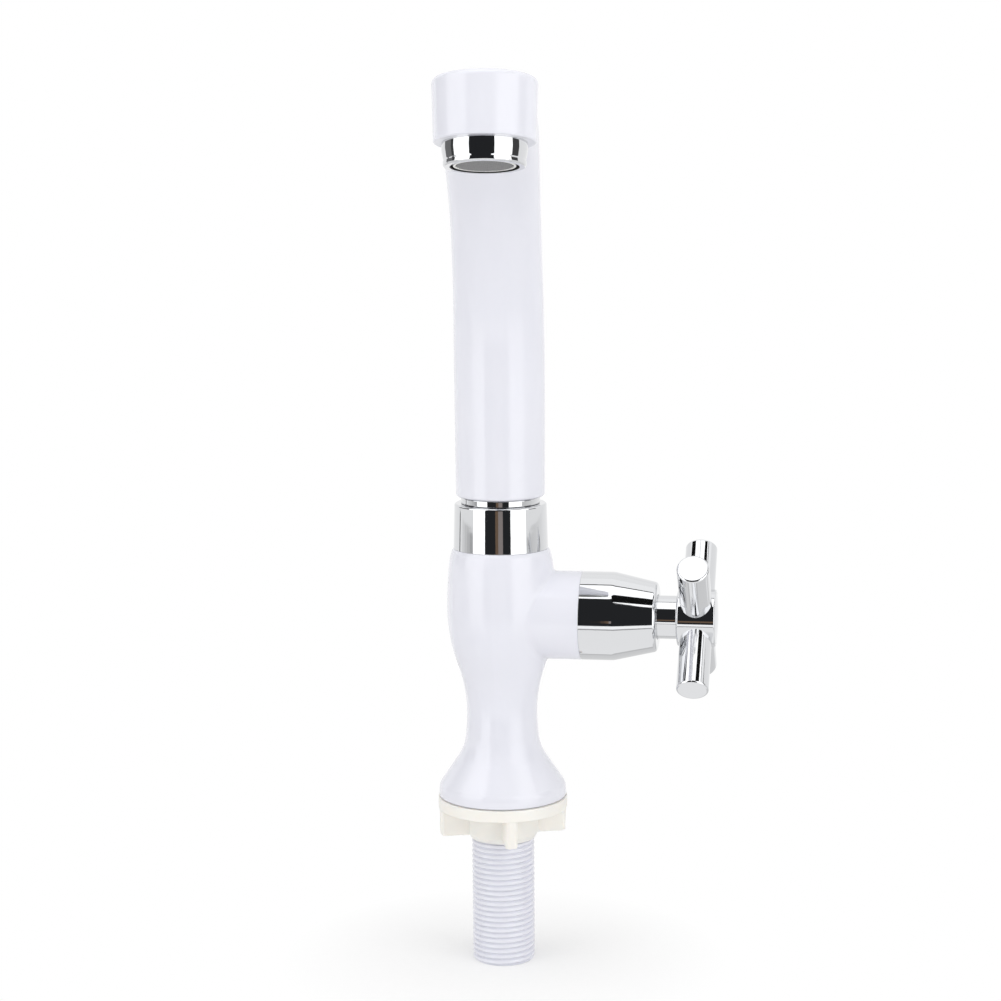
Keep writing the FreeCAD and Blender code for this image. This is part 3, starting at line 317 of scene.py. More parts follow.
boss = [(boss_r, boss_face - boss_edge_back), (boss_r - boss_edge_in, boss_face), (mouth_r, boss_face),
        (mouth_r, boss_face - mouth_depth), (chamber_r, boss_face - mouth_depth), (chamber_r, chamber_floor)]
for radius, x in boss:
    rings.append([on_boss(radius, around, x) for around, _, _ in root])
rings.append([on_boss(0, 0, chamber_floor)])
skin(column, rings)
add_piece("column_moulding", column, white_abs, "root", ["pedestal_body"])

# Base gasket
# A thin grey rubber ring stamped from sheet. It lies loose on the worktop round the shank, and the
# base squeezes it when the backnut is drawn up.

# Filled rubber sheet: pale grey and quite matt, with a fine powdery bloom on it.
pale_rubber, tree = new_material("matt grey rubber sheet")
bloom_mm = 0.9
place = add_node(tree, "TexCoord").outputs["Object"]
bloom = add_node(tree, "TexNoise", {"Vector": place, "Scale": 1 / (bloom_mm * MM), "Detail": 4.0})
tone = add_node(tree, "Mix", {"Factor": bloom.outputs["Fac"], "A": paint("#C4C4C6"), "B": paint("#CFCFD1")},
                data_type="RGBA")
powder = add_node(tree, "Bump", {"Height": bloom.outputs["Fac"], "Strength": 0.4, "Distance": 0.02 * MM})
surface = add_node(tree, "BsdfPrincipled", {"Base Color": tone.outputs["Result"], "Roughness": 0.7,
                   "IOR": 1.52, "Normal": powder.outputs["Normal"]})
add_node(tree, "OutputMaterial", {"Surface": surface.outputs["BSDF"]})

def dress(material, *nodes):
    """Gives this material to carried-over CAD nodes."""
    for node in nodes:
        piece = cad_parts[node]
        piece.data.materials.clear()
        piece.data.materials.append(material)

dress(pale_rubber, "base_gasket")

# Backnut
# A wing nut moulded in cream nylon: a flange that bears under the worktop, a hub and four stubby
# wings for the fingers. It runs on the shank's thread.

# Moulded nylon: warm and slightly translucent, with a satin skin from a blasted mould.
cream_nylon, tree = new_material("satin moulded cream nylon")
blast_mm = 0.5
cloud_mm = 9.0
place = add_node(tree, "TexCoord").outputs["Object"]
blast = add_node(tree, "TexNoise", {"Vector": place, "Scale": 1 / (blast_mm * MM), "Detail": 3.0})
cloud = add_node(tree, "TexNoise", {"Vector": place, "Scale": 1 / (cloud_mm * MM), "Detail": 2.0})
tone = add_node(tree, "Mix", {"Factor": cloud.outputs["Fac"], "A": paint("#F7F3EC"), "B": paint("#F9F6F0")},
                data_type="RGBA")
satin = add_node(tree, "MapRange", {"Value": blast.outputs["Fac"], "To Min": 0.32, "To Max": 0.5})
grain = add_node(tree, "Bump", {"Height": blast.outputs["Fac"], "Strength": 0.3, "Distance": 0.01 * MM})
surface = add_node(tree, "BsdfPrincipled", {"Base Color": tone.outputs["Result"],
                   "Roughness": satin.outputs["Result"], "IOR": 1.53, "Subsurface Weight": 0.3,
                   "Subsurface Radius": (1.0, 0.85, 0.7), "Subsurface Scale": 1.5 * MM,
                   "Normal": grain.outputs["Normal"]})
add_node(tree, "OutputMaterial", {"Surface": surface.outputs["BSDF"]})

# Every level of the nut has the same points: either the hub's circle with four wings standing out
# of it, or the same points on a plain circle. The wings thin downward, and their tips are rounded.
nut_turn = 17.0
nut_bore = 10.5575
nut_lead = 0.4
flange_depth = 3.9
flange_edge = ((21.2, 0), (21.48, -0.12), (21.6, -0.4), (21.6, -3.6), (21.54, -3.82), (21.44, -flange_depth))
nut_hub = 11.86
nut_end = ((11.46, -13.2), (11.01, -14.1), (10.81, -14.4), (nut_bore, -14.4))
wing_count = 4
wing_reach = 21.4
wing_half = 2.0
wing_draft = 0.04
wing_corner = 1.5
tip_z = -12.3
tip_reach = 21.2
tip_corner = 1.4
tip_rounding = 0.9
tip_pinch = 0.25
hub_taper = 0.4
corner_taper = 0.1
tip_steps = 4
end_steps = 5
hub_steps = 12

def nut_level(height, hub, reach, half, corner):
    """The ring of points round the hub and the wings at one height."""
    ring = []
    for wing in range(wing_count):
        at_hub = asin(half / hub)
        points = [Vector((hub * cos(at_hub), -half))]
        for side in (-1, 1):
            for k in range(end_steps + 1):
                turn = pi / 2 * (k / end_steps if side < 0 else 1 - k / end_steps)
                out = reach - corner + corner * sin(turn)
                points.append(Vector((out, side * (half - corner + corner * cos(turn)))))
        points.append(Vector((hub * cos(at_hub), half)))
        gap = 2 * pi / wing_count - 2 * at_hub
        for k in range(1, hub_steps):
            angle = at_hub + gap * k / hub_steps
            points.append(Vector((hub * cos(angle), hub * sin(angle))))
        turn = Matrix.Rotation(radians(90 + nut_turn) + 2 * pi * wing / wing_count, 2)
        ring += [(turn @ point).to_3d() + Vector((0, 0, height)) for point in points]
    return ring

def round_level(radius, height):
    """The same points brought on to a circle, each at its own angle."""
    ring = []
    for point in nut_level(height, nut_hub, wing_reach, wing_half, wing_corner):
        across = point.xy.normalized() * radius
        ring.append(Vector((across.x, across.y, height)))
    return ring

nut = [round_level(nut_bore, -nut_lead), round_level(nut_bore + nut_lead, 0)]
nut += [round_level(radius, height) for radius, height in flange_edge]
nut.append(nut_level(-flange_depth, nut_hub, wing_reach, wing_half + wing_draft, wing_corner))
for k in range(tip_steps + 1):
    down = sin(pi / 2 * k / tip_steps)
    back = 1 - cos(pi / 2 * k / tip_steps)
    nut.append(nut_level(tip_z - tip_rounding * down, nut_hub - hub_taper * down,
                         tip_reach - tip_rounding * back, wing_half - wing_draft - tip_pinch * back,
                         tip_corner - corner_taper * down))
nut += [round_level(radius, height) for radius, height in nut_end]
add_piece("wing_backnut", skin(bmesh.new(), nut, closed=True), cream_nylon, "backnut",
          ["backnut"], crease=40)

# Collar and spout ring
# A union nut turned from brass and chromed, which screws on the neck over the spout's clip. The ring
# above it is the top of the spout's own nipple, chromed too. A glide ring, the clip and two seals are
# hidden inside.

# Bright chrome over polished brass: a cool mirror, with the slow waves that polishing leaves.
chrome_plate, tree = new_material("bright chrome over polished brass")
wave_mm = 5.0
haze_mm = 14.0
place = add_node(tree, "TexCoord").outputs["Object"]
wave = add_node(tree, "TexNoise", {"Vector": place, "Scale": 1 / (wave_mm * MM), "Detail": 1.5})
haze = add_node(tree, "TexNoise", {"Vector": place, "Scale": 1 / (haze_mm * MM), "Detail": 3.0})
sheen = add_node(tree, "MapRange", {"Value": haze.outputs["Fac"], "To Min": 0.025, "To Max": 0.06})
polish = add_node(tree, "Bump", {"Height": wave.outputs["Fac"], "Strength": 0.35, "Distance": 0.03 * MM})
surface = add_node(tree, "BsdfPrincipled", {"Base Color": paint("#D8D9DB"), "Metallic": 1.0,
                   "Roughness": sheen.outputs["Result"], "Normal": polish.outputs["Normal"]})
add_node(tree, "OutputMaterial", {"Surface": surface.outputs["BSDF"]})

collar_bore = 13.08
collar_top = 99.0
collar_top_r = 15.22
lip_z = 95.6
lip_r = 10.75
collar = soften([(collar_bore, seat_z), (seat_r, seat_z, 0.2), (collar_top_r, collar_top, 0.7),
                 (lip_r, collar_top, 0.3), (lip_r, lip_z), (collar_bore, lip_z)])
add_piece("chromed_collar", turned(collar, 128), chrome_plate, "root", ["collar"])

# The nipple has two grooves for seals and one for the clip. Its ring carries the spout, whose foot
# goes round the nipple's plain end.
spout_turn = Matrix.Rotation(radians(6.5), 4, "Z")
nipple_foot = 79.3
nipple_top = 111.4
nipple_bore = 7.5
nipple_r = 10.4
nipple_lead = 0.8
seal_grooves = (81.7, 86.3)
seal_groove_r = 8.7
seal_groove_height = 2.1
clip_groove = (94.3, 95.5)
clip_groove_r = 9.2
ring_r = 13.05
ring_z = 99.1
stem_foot = 101.4
plain_end_r = 11.37
nipple = [(nipple_bore, nipple_foot), (nipple_r - nipple_lead, nipple_foot),
          (nipple_r, nipple_foot + nipple_lead)]
for groove in seal_grooves:
    nipple += [(nipple_r, groove), (seal_groove_r, groove), (seal_groove_r, groove + seal_groove_height),
               (nipple_r, groove + seal_groove_height)]
nipple += [(nipple_r, clip_groove[0]), (clip_groove_r, clip_groove[0]), (clip_groove_r, clip_groove[1]),
           (nipple_r, clip_groove[1]), (nipple_r, ring_z), (ring_r, ring_z, 0.15), (ring_r, stem_foot, 0.6),
           (plain_end_r, stem_foot), (plain_end_r, nipple_top), (nipple_bore, nipple_top)]
add_piece("spout_nipple", turned(soften(nipple), 128), chrome_plate, "spout",
          ["spout_spigot"], place=spout_turn)

# Moulded acetal: a clean slippery white with a soft sheen.
white_acetal, tree = new_material("satin moulded white acetal")
cloud_mm = 1.2
place = add_node(tree, "TexCoord").outputs["Object"]
cloud = add_node(tree, "TexNoise", {"Vector": place, "Scale": 1 / (cloud_mm * MM), "Detail": 2.0})
satin = add_node(tree, "MapRange", {"Value": cloud.outputs["Fac"], "To Min": 0.3, "To Max": 0.42})
surface = add_node(tree, "BsdfPrincipled", {"Base Color": paint("#EDEDE9"),
                   "Roughness": satin.outputs["Result"], "IOR": 1.48})
add_node(tree, "OutputMaterial", {"Surface": surface.outputs["BSDF"]})
dress(white_acetal, "glide_ring")

# Stainless steel: grey and softly bright, with fine lines from rolling and turning. They are drawn
# coarser than the real ones, or they would not show.
stainless, tree = new_material("fine turned stainless steel")
line_mm = 0.4
place = add_node(tree, "TexCoord").outputs["Object"]
lines = add_node(tree, "TexNoise", {"Vector": place, "Scale": 1 / (line_mm * MM), "Detail": 2.0})
sheen = add_node(tree, "MapRange", {"Value": lines.outputs["Fac"], "To Min": 0.22, "To Max": 0.36})
surface = add_node(tree, "BsdfPrincipled", {"Base Color": paint("#B9B9BA"), "Metallic": 1.0,
                   "Roughness": sheen.outputs["Result"]})
add_node(tree, "OutputMaterial", {"Surface": surface.outputs["BSDF"]})
dress(stainless, "swivel_clip")

# Nitrile rubber: nearly black and quite matt, with a faint mottle.
black_rubber, tree = new_material("matt black nitrile rubber")
mottle_mm = 0.9
place = add_node(tree, "TexCoord").outputs["Object"]
mottle = add_node(tree, "TexNoise", {"Vector": place, "Scale": 1 / (mottle_mm * MM), "Detail": 4.0})
tone = add_node(tree, "Mix", {"Factor": mottle.outputs["Fac"], "A": paint("#1A1A1B"), "B": paint("#2A2A2B")},
                data_type="RGBA")
surface = add_node(tree, "BsdfPrincipled", {"Base Color": tone.outputs["Result"], "Roughness": 0.7,
                   "IOR": 1.52})
add_node(tree, "OutputMaterial", {"Surface": surface.outputs["BSDF"]})
dress(black_rubber, "spigot_seal_1", "spigot_seal_2")

# Spout
# A hollow swan neck moulded in white ABS. It stands round on the nipple, flattens as it bends over
# and runs into a round drum that looks down. The aerator screws into the drum.
stem_top = 139.3
stem_steps = 9
foot_r = 14.65
foot_taper = 0.1
foot_height = 14.0
stem_r = 14.88
bend_r = 84.0
bend_turn = radians(79.6)
bend_steps = 72
tube_width = 14.98
tube_height = 8.4
tube_waist = 0.5
drum_run = 12.5
tube_sides = 96

def tube_ring(centre, along, width, height):
    """An oval section of the tube, square to its run at the angle along."""
    up = Vector((0, cos(along), sin(along)))
    turns = [2 * pi * i / tube_sides for i in range(tube_sides)]
    return [centre + Vector((width * cos(turn), 0, 0)) + up * (height * sin(turn)) for turn in turns]

foot = soften([(0, stem_foot), (foot_r, stem_foot, 0.9), (foot_r + foot_taper, stem_foot + foot_height)])
rings = [circle(radius, height, tube_sides) for radius, height in foot]
for k in range(1, stem_steps + 1):
    share = k / stem_steps
    height = foot[-1].y + (stem_top - foot[-1].y) * share
    rings.append(circle(foot[-1].x + (stem_r - foot[-1].x) * share, height, tube_sides))
for k in range(1, bend_steps + 1):
    share = k / bend_steps
    ease = share * share * (3 - 2 * share)
    along = bend_turn * share
    centre = Vector((0, -bend_r * (1 - cos(along)), stem_top + bend_r * sin(along)))
    width = stem_r + (tube_width - stem_r) * ease - tube_waist * sin(pi * share) ** 2
    rings.append(tube_ring(centre, along, width, stem_r + (tube_height - stem_r) * ease))
run = Vector((0, -sin(bend_turn), cos(bend_turn)))
for share in (0.3, 0.6, 1.0):
    rings.append(tube_ring(centre + run * drum_run * share, along, tube_width, tube_height))
drum_centre = centre + run * drum_run
rings.append([drum_centre])
tube = skin(bmesh.new(), rings)

def combine(base, tool, operation):
    """Joins two solid meshes in mm, or cuts the second from the first, and gives the result."""
    blanks = []
    for mesh in (base, tool):
        weld(mesh)
        data = bpy.data.meshes.new("blank")
        mesh.to_mesh(data)
        mesh.free()
        blanks.append(bpy.data.objects.new("blank", data))
        bpy.context.collection.objects.link(blanks[-1])
    cut = blanks[0].modifiers.new("cut", "BOOLEAN")
    cut.object = blanks[1]
    cut.operation = operation
    cut.solver = "EXACT"
    result = bmesh.new()
    result.from_object(blanks[0], bpy.context.evaluated_depsgraph_get())
    for blank in blanks:
        bpy.data.meshes.remove(blank.data)
    return result

# The outlet's own frame stands at the middle of the drum's lip, and its heights go down the flow.
# The drum's top is slightly domed, and its cavity has a step that the aerator's washer lies on.
outlet_tilt = Matrix.Rotation(pi / 2 + bend_turn, 4, "X")
drum_half = 8.7
outlet = Matrix.Translation(drum_centre + outlet_tilt @ Vector((0, 0, drum_half))) @ outlet_tilt
drum_top = -19.1
drum_flat_r = 6.0
drum_shoulder = -18.5
drum_shoulder_r = 15.48
drum_lip_r = 14.88
cavity_top = -15.7
cavity_r = 8.8
washer_step = -7.7
drum_bore = 12.08
past_lip = 1.0
drum = turned(soften([(0, drum_top), (drum_flat_r, drum_top, 16.0), (drum_shoulder_r, drum_shoulder, 1.8),
                      (drum_lip_r, 0, 0.5), (0, 0)]), 128, closed=False)
cavity = turned([(0, cavity_top), (cavity_r, cavity_top), (cavity_r, washer_step), (drum_bore, washer_step),
                 (drum_bore, past_lip), (0, past_lip)], 96, closed=False)
bmesh.ops.transform(drum, matrix=outlet, verts=drum.verts)
bmesh.ops.transform(cavity, matrix=outlet, verts=cavity.verts)
foot_bore = 11.45
hole_foot = 100.0
hole_top = 130.0
nipple_hole = turned([(0, hole_foot), (foot_bore, hole_foot), (foot_bore, hole_top), (0, hole_top)], 96,
                     closed=False)
spout = combine(tube, drum, "UNION")
spout = combine(spout, cavity, "DIFFERENCE")
spout = combine(spout, nipple_hole, "DIFFERENCE")
add_piece("swan_neck_spout", spout, white_abs, "spout", ["spout_tube"], place=spout_turn)

# Aerator
# A chromed brass ring screws into the drum on a rubber washer. It holds a white acetal core with the
# water holes and a fine steel mesh, and its lower edge is rolled into a bead.
screwed_top = -6.2
screwed_r = 12.0
screwed_bore = 10.6
flange_r = 12.5
flange_end = 2.4
flange_end_r = 12.45
waist = 5.1
waist_r = 11.95
bead = 5.6
bead_r = 12.05
bead_end = 7.0
bead_bore = 10.05
core_ledge = 2.0
near_bore = 0.02
aerator = turned(soften([(screwed_bore, screwed_top), (screwed_r, screwed_top), (screwed_r, 0), (flange_r, 0),
                         (flange_end_r, flange_end), (waist_r, waist, 0.8), (bead_r, bead, 0.25),
                         (bead_r, bead_end, 0.65), (bead_bore, bead_end, 0.12), (bead_bore, core_ledge),
                         (screwed_bore, core_ledge)]), 128)
# The faces of the bore take the second slot, the painted shade made below.
for face in aerator.faces:
    if face.calc_center_median().xy.length < bead_bore + near_bore:
        face.material_index = 1
ring_piece = add_piece("aerator_ring", aerator, chrome_plate, "spout", ["aerator_housing"],
                       place=spout_turn @ outlet)

# The ring's bore is painted nearly black: painted shade for the deep dark gap between the lip and the core.
painted_shade_bore, tree = new_material("painted shade in the ring's bore")
shade_mottle_mm = 0.8
place = add_node(tree, "TexCoord").outputs["Object"]
shade_mottle = add_node(tree, "TexNoise", {"Vector": place, "Scale": 1 / (shade_mottle_mm * MM), "Detail": 3.0})
tone = add_node(tree, "Mix", {"Factor": shade_mottle.outputs["Fac"], "A": paint("#0D0C0B"), "B": paint("#181614")},
                data_type="RGBA")
surface = add_node(tree, "BsdfPrincipled", {"Base Color": tone.outputs["Result"], "Roughness": 0.6})
add_node(tree, "OutputMaterial", {"Surface": surface.outputs["BSDF"]})
ring_piece.data.materials.append(painted_shade_bore)

dress(white_acetal, "aerator_core")
dress(black_rubber, "aerator_washer")

# Fine steel wire: duller and darker than sheet, with tiny scratches from drawing it through a die.
woven_steel, tree = new_material("drawn stainless steel wire")
scratch_mm = 0.3
place = add_node(tree, "TexCoord").outputs["Object"]
scratches = add_node(tree, "TexNoise", {"Vector": place, "Scale": 1 / (scratch_mm * MM), "Detail": 2.0})
sheen = add_node(tree, "MapRange", {"Value": scratches.outputs["Fac"], "To Min": 0.4, "To Max": 0.6})
surface = add_node(tree, "BsdfPrincipled", {"Base Color": paint("#9C9C9D"), "Metallic": 1.0,
                   "Roughness": sheen.outputs["Result"]})
add_node(tree, "OutputMaterial", {"Surface": surface.outputs["BSDF"]})

# The mesh is woven: each wire goes over one and under the next, and its middle is pressed out into
# a shallow dish. The real wires are about half as far apart, which would not show at this size.
wire_gap = 0.56
wire_r = 0.12
wire_press = 0.8
mesh_r = 8.6
mesh_z = 6.0
dish_depth = 0.62
dish_r = 8.45
dish_slope = 0.5
weave = bmesh.new()
for axis in (0, 1):
    for k in range(-int(mesh_r / wire_gap), int(mesh_r / wire_gap) + 1):
        across = k * wire_gap
        half = sqrt(mesh_r ** 2 - across ** 2)
        if half < 2 * wire_gap:
            continue
        steps = ceil(4 * half / wire_gap)
        rings = []
        for j in range(steps + 1):
            along = -half + 2 * half * j / steps
            sway = wire_r * cos(pi * along / wire_gap) * (1 if (k + axis) % 2 else -1)
            dish = min(1, max(0, (dish_r - sqrt(across ** 2 + along ** 2)) / dish_slope))
            level = mesh_z + dish_depth * dish
            ring = []
            for side, rise in ((wire_r, 0), (0, wire_r), (-wire_r, 0), (0, -wire_r)):
                point = (across + side, along) if axis else (along, across + side)
                ring.append(Vector((point[0], point[1], level + sway * wire_press + rise * wire_press)))
            rings.append(ring)
        ends = [sum(ring, Vector()) / len(ring) for ring in (rings[0], rings[-1])]
        skin(weave, [[ends[0]]] + rings + [[ends[1]]])
add_piece("woven_screen", weave, woven_steel, "spout", ["aerator_mesh"],
          place=spout_turn @ outlet, crease=60)

# Valve
# A quarter-turn cartridge screws into the boss: a brass body and spindle, two ceramic discs, rubber
# seals, an acetal washer and a steel clip. The bonnet hides all of it.
dress(black_rubber, "cartridge_seal", "spindle_seal_1", "spindle_seal_2")
dress(white_acetal, "friction_washer")
dress(stainless, "spindle_clip")

# Free-cutting brass straight from the lathe: yellow metal with fine tool marks, drawn coarser than
# the real ones so that they show.
turned_brass, tree = new_material("turned brass")
mark_mm = 0.5
place = add_node(tree, "TexCoord").outputs["Object"]
marks = add_node(tree, "TexNoise", {"Vector": place, "Scale": 1 / (mark_mm * MM), "Detail": 2.0})
sheen = add_node(tree, "MapRange", {"Value": marks.outputs["Fac"], "To Min": 0.2, "To Max": 0.34})
surface = add_node(tree, "BsdfPrincipled", {"Base Color": paint("#D2B06A"), "Metallic": 1.0,
                   "Roughness": sheen.outputs["Result"]})
add_node(tree, "OutputMaterial", {"Surface": surface.outputs["BSDF"]})
dress(turned_brass, "cartridge_body", "spindle")

# Silicone rubber: a softer grey than the black seals, and a little glossier.
grey_rubber, tree = new_material("grey silicone rubber")
cloud_mm = 0.8
place = add_node(tree, "TexCoord").outputs["Object"]
cloud = add_node(tree, "TexNoise", {"Vector": place, "Scale": 1 / (cloud_mm * MM), "Detail": 3.0})
tone = add_node(tree, "Mix", {"Factor": cloud.outputs["Fac"], "A": paint("#8B8B8D"), "B": paint("#969698")},
                data_type="RGBA")
surface = add_node(tree, "BsdfPrincipled", {"Base Color": tone.outputs["Result"], "Roughness": 0.55,
                   "IOR": 1.41})
add_node(tree, "OutputMaterial", {"Surface": surface.outputs["BSDF"]})
dress(grey_rubber, "seat_seal")

# Alumina: a dense off-white ceramic, lapped flat until it is nearly a mirror. Its crystals are far
# finer than this faint cloud, which stands for them.
alumina, tree = new_material("lapped alumina")
crystal_mm = 0.3
place = add_node(tree, "TexCoord").outputs["Object"]
crystals = add_node(tree, "TexNoise", {"Vector": place, "Scale": 1 / (crystal_mm * MM), "Detail": 3.0})
tone = add_node(tree, "Mix", {"Factor": crystals.outputs["Fac"], "A": paint("#F0EEE6"),
                "B": paint("#F7F6F0")}, data_type="RGBA")
surface = add_node(tree, "BsdfPrincipled", {"Base Color": tone.outputs["Result"], "Roughness": 0.12,
                   "IOR": 1.76})
add_node(tree, "OutputMaterial", {"Surface": surface.outputs["BSDF"]})
dress(alumina, "fixed_disc", "drive_disc")

# Bonnet
# A bell turned from brass and chromed. It screws down over the cartridge until it meets the boss.
# Its heights, and the handle's, are along the valve's axis from the boss's face.
valve_axis = Matrix.Translation((boss_face, 0, boss_z)) @ Matrix.Rotation(pi / 2, 4, "Y")
skirt_bore = 12.73
skirt_end = 10.6
bell_top = 24.95
bell_top_r = 11.35
throat_r = 7.45
land = 21.75
gland_r = 8.08
hex_top = 15.75
hex_r = 10.86
skirt_step = 8.35
bell = soften([(skirt_bore, 0), (boss_r, 0, 0.15), (boss_r, skirt_end, 8.0), (bell_top_r, bell_top, 1.3),
               (throat_r, bell_top, 0.3), (throat_r, land), (gland_r, land), (gland_r, hex_top),
               (hex_r, hex_top), (skirt_bore, skirt_step)])
add_piece("chromed_bonnet", turned(bell, 128), chrome_plate, "root", ["bonnet"],
          place=valve_axis)

# Cross handle
# A zinc casting, polished and chromed: a neck, a hub and four round arms, with the die's parting line
# down the middle of each arm. A steel screw in the hub holds it to the spindle, through a splined
# plastic insert.
dress(stainless, "handle_screw")

# Glass-filled nylon: pale grey, with the cloudy skin that the fibres leave.
grey_nylon, tree = new_material("grey glass-filled nylon")
fibre_mm = 0.7
place = add_node(tree, "TexCoord").outputs["Object"]
fibres = add_node(tree, "TexNoise", {"Vector": place, "Scale": 1 / (fibre_mm * MM), "Detail": 4.0})
tone = add_node(tree, "Mix", {"Factor": fibres.outputs["Fac"], "A": paint("#BDBFC2"), "B": paint("#C8CACC")},
                data_type="RGBA")
surface = add_node(tree, "BsdfPrincipled", {"Base Color": tone.outputs["Result"], "Roughness": 0.5,
                   "IOR": 1.53})
add_node(tree, "OutputMaterial", {"Surface": surface.outputs["BSDF"]})
dress(grey_nylon, "handle_insert")

handle_neck_start = 24.15
handle_neck_r = 7.1
handle_neck_bore = 5.9
hub_start = 31.45
hub_end = 44.05
hub_r = 9.4
hub_bore = 6.5
hub_floor = 32.45
cap_seat = 42.85
cap_seat_r = 8.42
arm_count = 4
arm_z = (hub_start + hub_end) / 2
arm_r = 5.25
arm_reach = 28.2
arm_root = 7.6
arm_steps = 32
parting_rise = 0.055
parting_width = 0.03

def arm_ring(radius, reach):
    """A ring of an arm, with the parting line standing proud on both sides."""
    ring = []
    for side in (0, pi):
        ring.append((radius + parting_rise * radius / arm_r, side))
        ring.append((radius, side + parting_width))
        ring += [(radius, side + pi * k / arm_steps) for k in range(1, arm_steps)]
        ring.append((radius, side + pi - parting_width))
    return [Vector((reach, r * cos(turn), arm_z + r * sin(turn))) for r, turn in ring]

hub = soften([(handle_neck_bore, handle_neck_start), (handle_neck_r, handle_neck_start),
              (handle_neck_r, hub_start, 0.3), (hub_r, hub_start, 0.7), (hub_r, hub_end, 0.5),
              (cap_seat_r, hub_end), (cap_seat_r, cap_seat), (hub_bore, cap_seat), (hub_bore, hub_floor),
              (handle_neck_bore, hub_floor)])
cross = turned(hub, 96)
arm_profile = soften([(0, arm_root), (arm_r, arm_root), (arm_r, arm_reach, 0.75), (0, arm_reach)])
arm_rings = [[Vector((reach, 0, arm_z))] if radius < 1e-6 else arm_ring(radius, reach)
             for radius, reach in arm_profile]
for k in range(arm_count):
    arm = skin(bmesh.new(), arm_rings)
    turn = pi / arm_count + 2 * pi / arm_count * k
    bmesh.ops.transform(arm, matrix=Matrix.Rotation(turn, 4, "Z"), verts=arm.verts)
    cross = combine(cross, arm, "UNION")
add_piece("chromed_cross_handle", cross, chrome_plate, "handle", ["cross_handle"],
          place=valve_axis)

# Index cap
# A thin chromed cap that snaps into the hub's end and covers the screw. Its face is left plain, with
# a slight dome.
cap_r = 8.4
cap_skirt = 40.65
cap_skirt_r = 6.48
cap_skirt_bore = 5.4
dome_r = 8.0
dome_top = 44.65
dome_rise = 0.54
dome_steps = 8
cap = [Vector((0, cap_seat))]
cap += soften([(cap_skirt_bore, cap_seat), (cap_skirt_bore, cap_skirt), (cap_skirt_r, cap_skirt),
               (cap_skirt_r, cap_seat), (cap_r, cap_seat), (cap_r, hub_end, 0.25),
               (dome_r, dome_top - dome_rise)])
for k in range(1, dome_steps + 1):
    radius = dome_r * (1 - k / dome_steps)
    cap.append(Vector((radius, dome_top - dome_rise * (radius / dome_r) ** 2)))
add_piece("index_cap_face", turned(cap, 96, closed=False), chrome_plate, "handle",
          ["index_cap"], place=valve_axis)

# Stage
# A plain pale floor that fades to white, softboxes on both sides and overhead, and the dark of the
# room behind the camera, which only the reflections show. Its sizes are in metres.
view_azimuth = 9.08
floor_z = shank_end * MM
room_middle = Vector((0.0, 0.0, 0.08))
room_light = 0.55
scene = bpy.context.scene
scene.view_settings.view_transform = "Standard"

world = bpy.data.worlds.new("studio")
world.use_nodes = True
tree = world.node_tree
tree.nodes.clear()
seen = add_node(tree, "LightPath")
mirror = add_node(tree, "Math", {0: seen.outputs["Is Glossy Ray"], 1: seen.outputs["Is Transmission Ray"]},
                  operation="MAXIMUM")
shown = add_node(tree, "Math", {0: seen.outputs["Is Camera Ray"], 1: mirror.outputs["Value"]},
                 operation="MAXIMUM")
level = add_node(tree, "MapRange", {"Value": shown.outputs["Value"], "To Min": room_light, "To Max": 1.0})
sky = add_node(tree, "Background", {"Color": paint("#FFFFFF"), "Strength": level.outputs["Result"]})
add_node(tree, "OutputWorld", {"Surface": sky.outputs["Background"]})
scene.world = world

def direction(beta, elevation):
    """The direction that is beta degrees round from the camera to its right, and so many degrees up."""
    azimuth = radians(view_azimuth + beta)
    return Vector((sin(azimuth) * cos(radians(elevation)), -cos(azimuth) * cos(radians(elevation)),
                   sin(radians(elevation))))

def hang_card(name, grid, colour, strength):
    """A glowing card over a grid of points that only reflections see."""
    mesh = bmesh.new()
    rows = [[mesh.verts.new(point) for point in row] for row in grid]
    for low, high in zip(rows, rows[1:]):
        for i in range(len(low) - 1):
            mesh.faces.new((low[i], low[i + 1], high[i + 1], high[i]))
    data = bpy.data.meshes.new(name)
    mesh.to_mesh(data)
    mesh.free()
    material, tree = new_material(name)
    glow = add_node(tree, "Emission", {"Color": paint(colour), "Strength": strength})
    add_node(tree, "OutputMaterial", {"Surface": glow.outputs["Emission"]})
    data.materials.append(material)
    card = bpy.data.objects.new(name, data)
    bpy.context.collection.objects.link(card)
    for ray in ("camera", "diffuse", "transmission", "volume_scatter", "shadow"):
        setattr(card, "visible_" + ray, False)

def add_card(name, betas, elevations, colour, strength=1.0, distance=0.9):
    """A card bent round the tap, between two betas and two elevations."""
    steps = 12
    grid = []
    for j in range(steps + 1):
        elevation = elevations[0] + (elevations[1] - elevations[0]) * j / steps
        spans = [betas[0] + (betas[1] - betas[0]) * i / steps for i in range(steps + 1)]
        grid.append([room_middle + distance * direction(beta, elevation) for beta in spans])
    hang_card(name, grid, colour, strength)

def add_ceiling(name, front, back, colour, strength=1.0):
    """A flat strip overhead, square to the valve, between two distances behind the column."""
    half = 1.3
    height = 0.86
    strip = [[Vector((x, y, height)) for x in (-half, half)] for y in (front, back)]
    hang_card(name, strip, colour, strength)

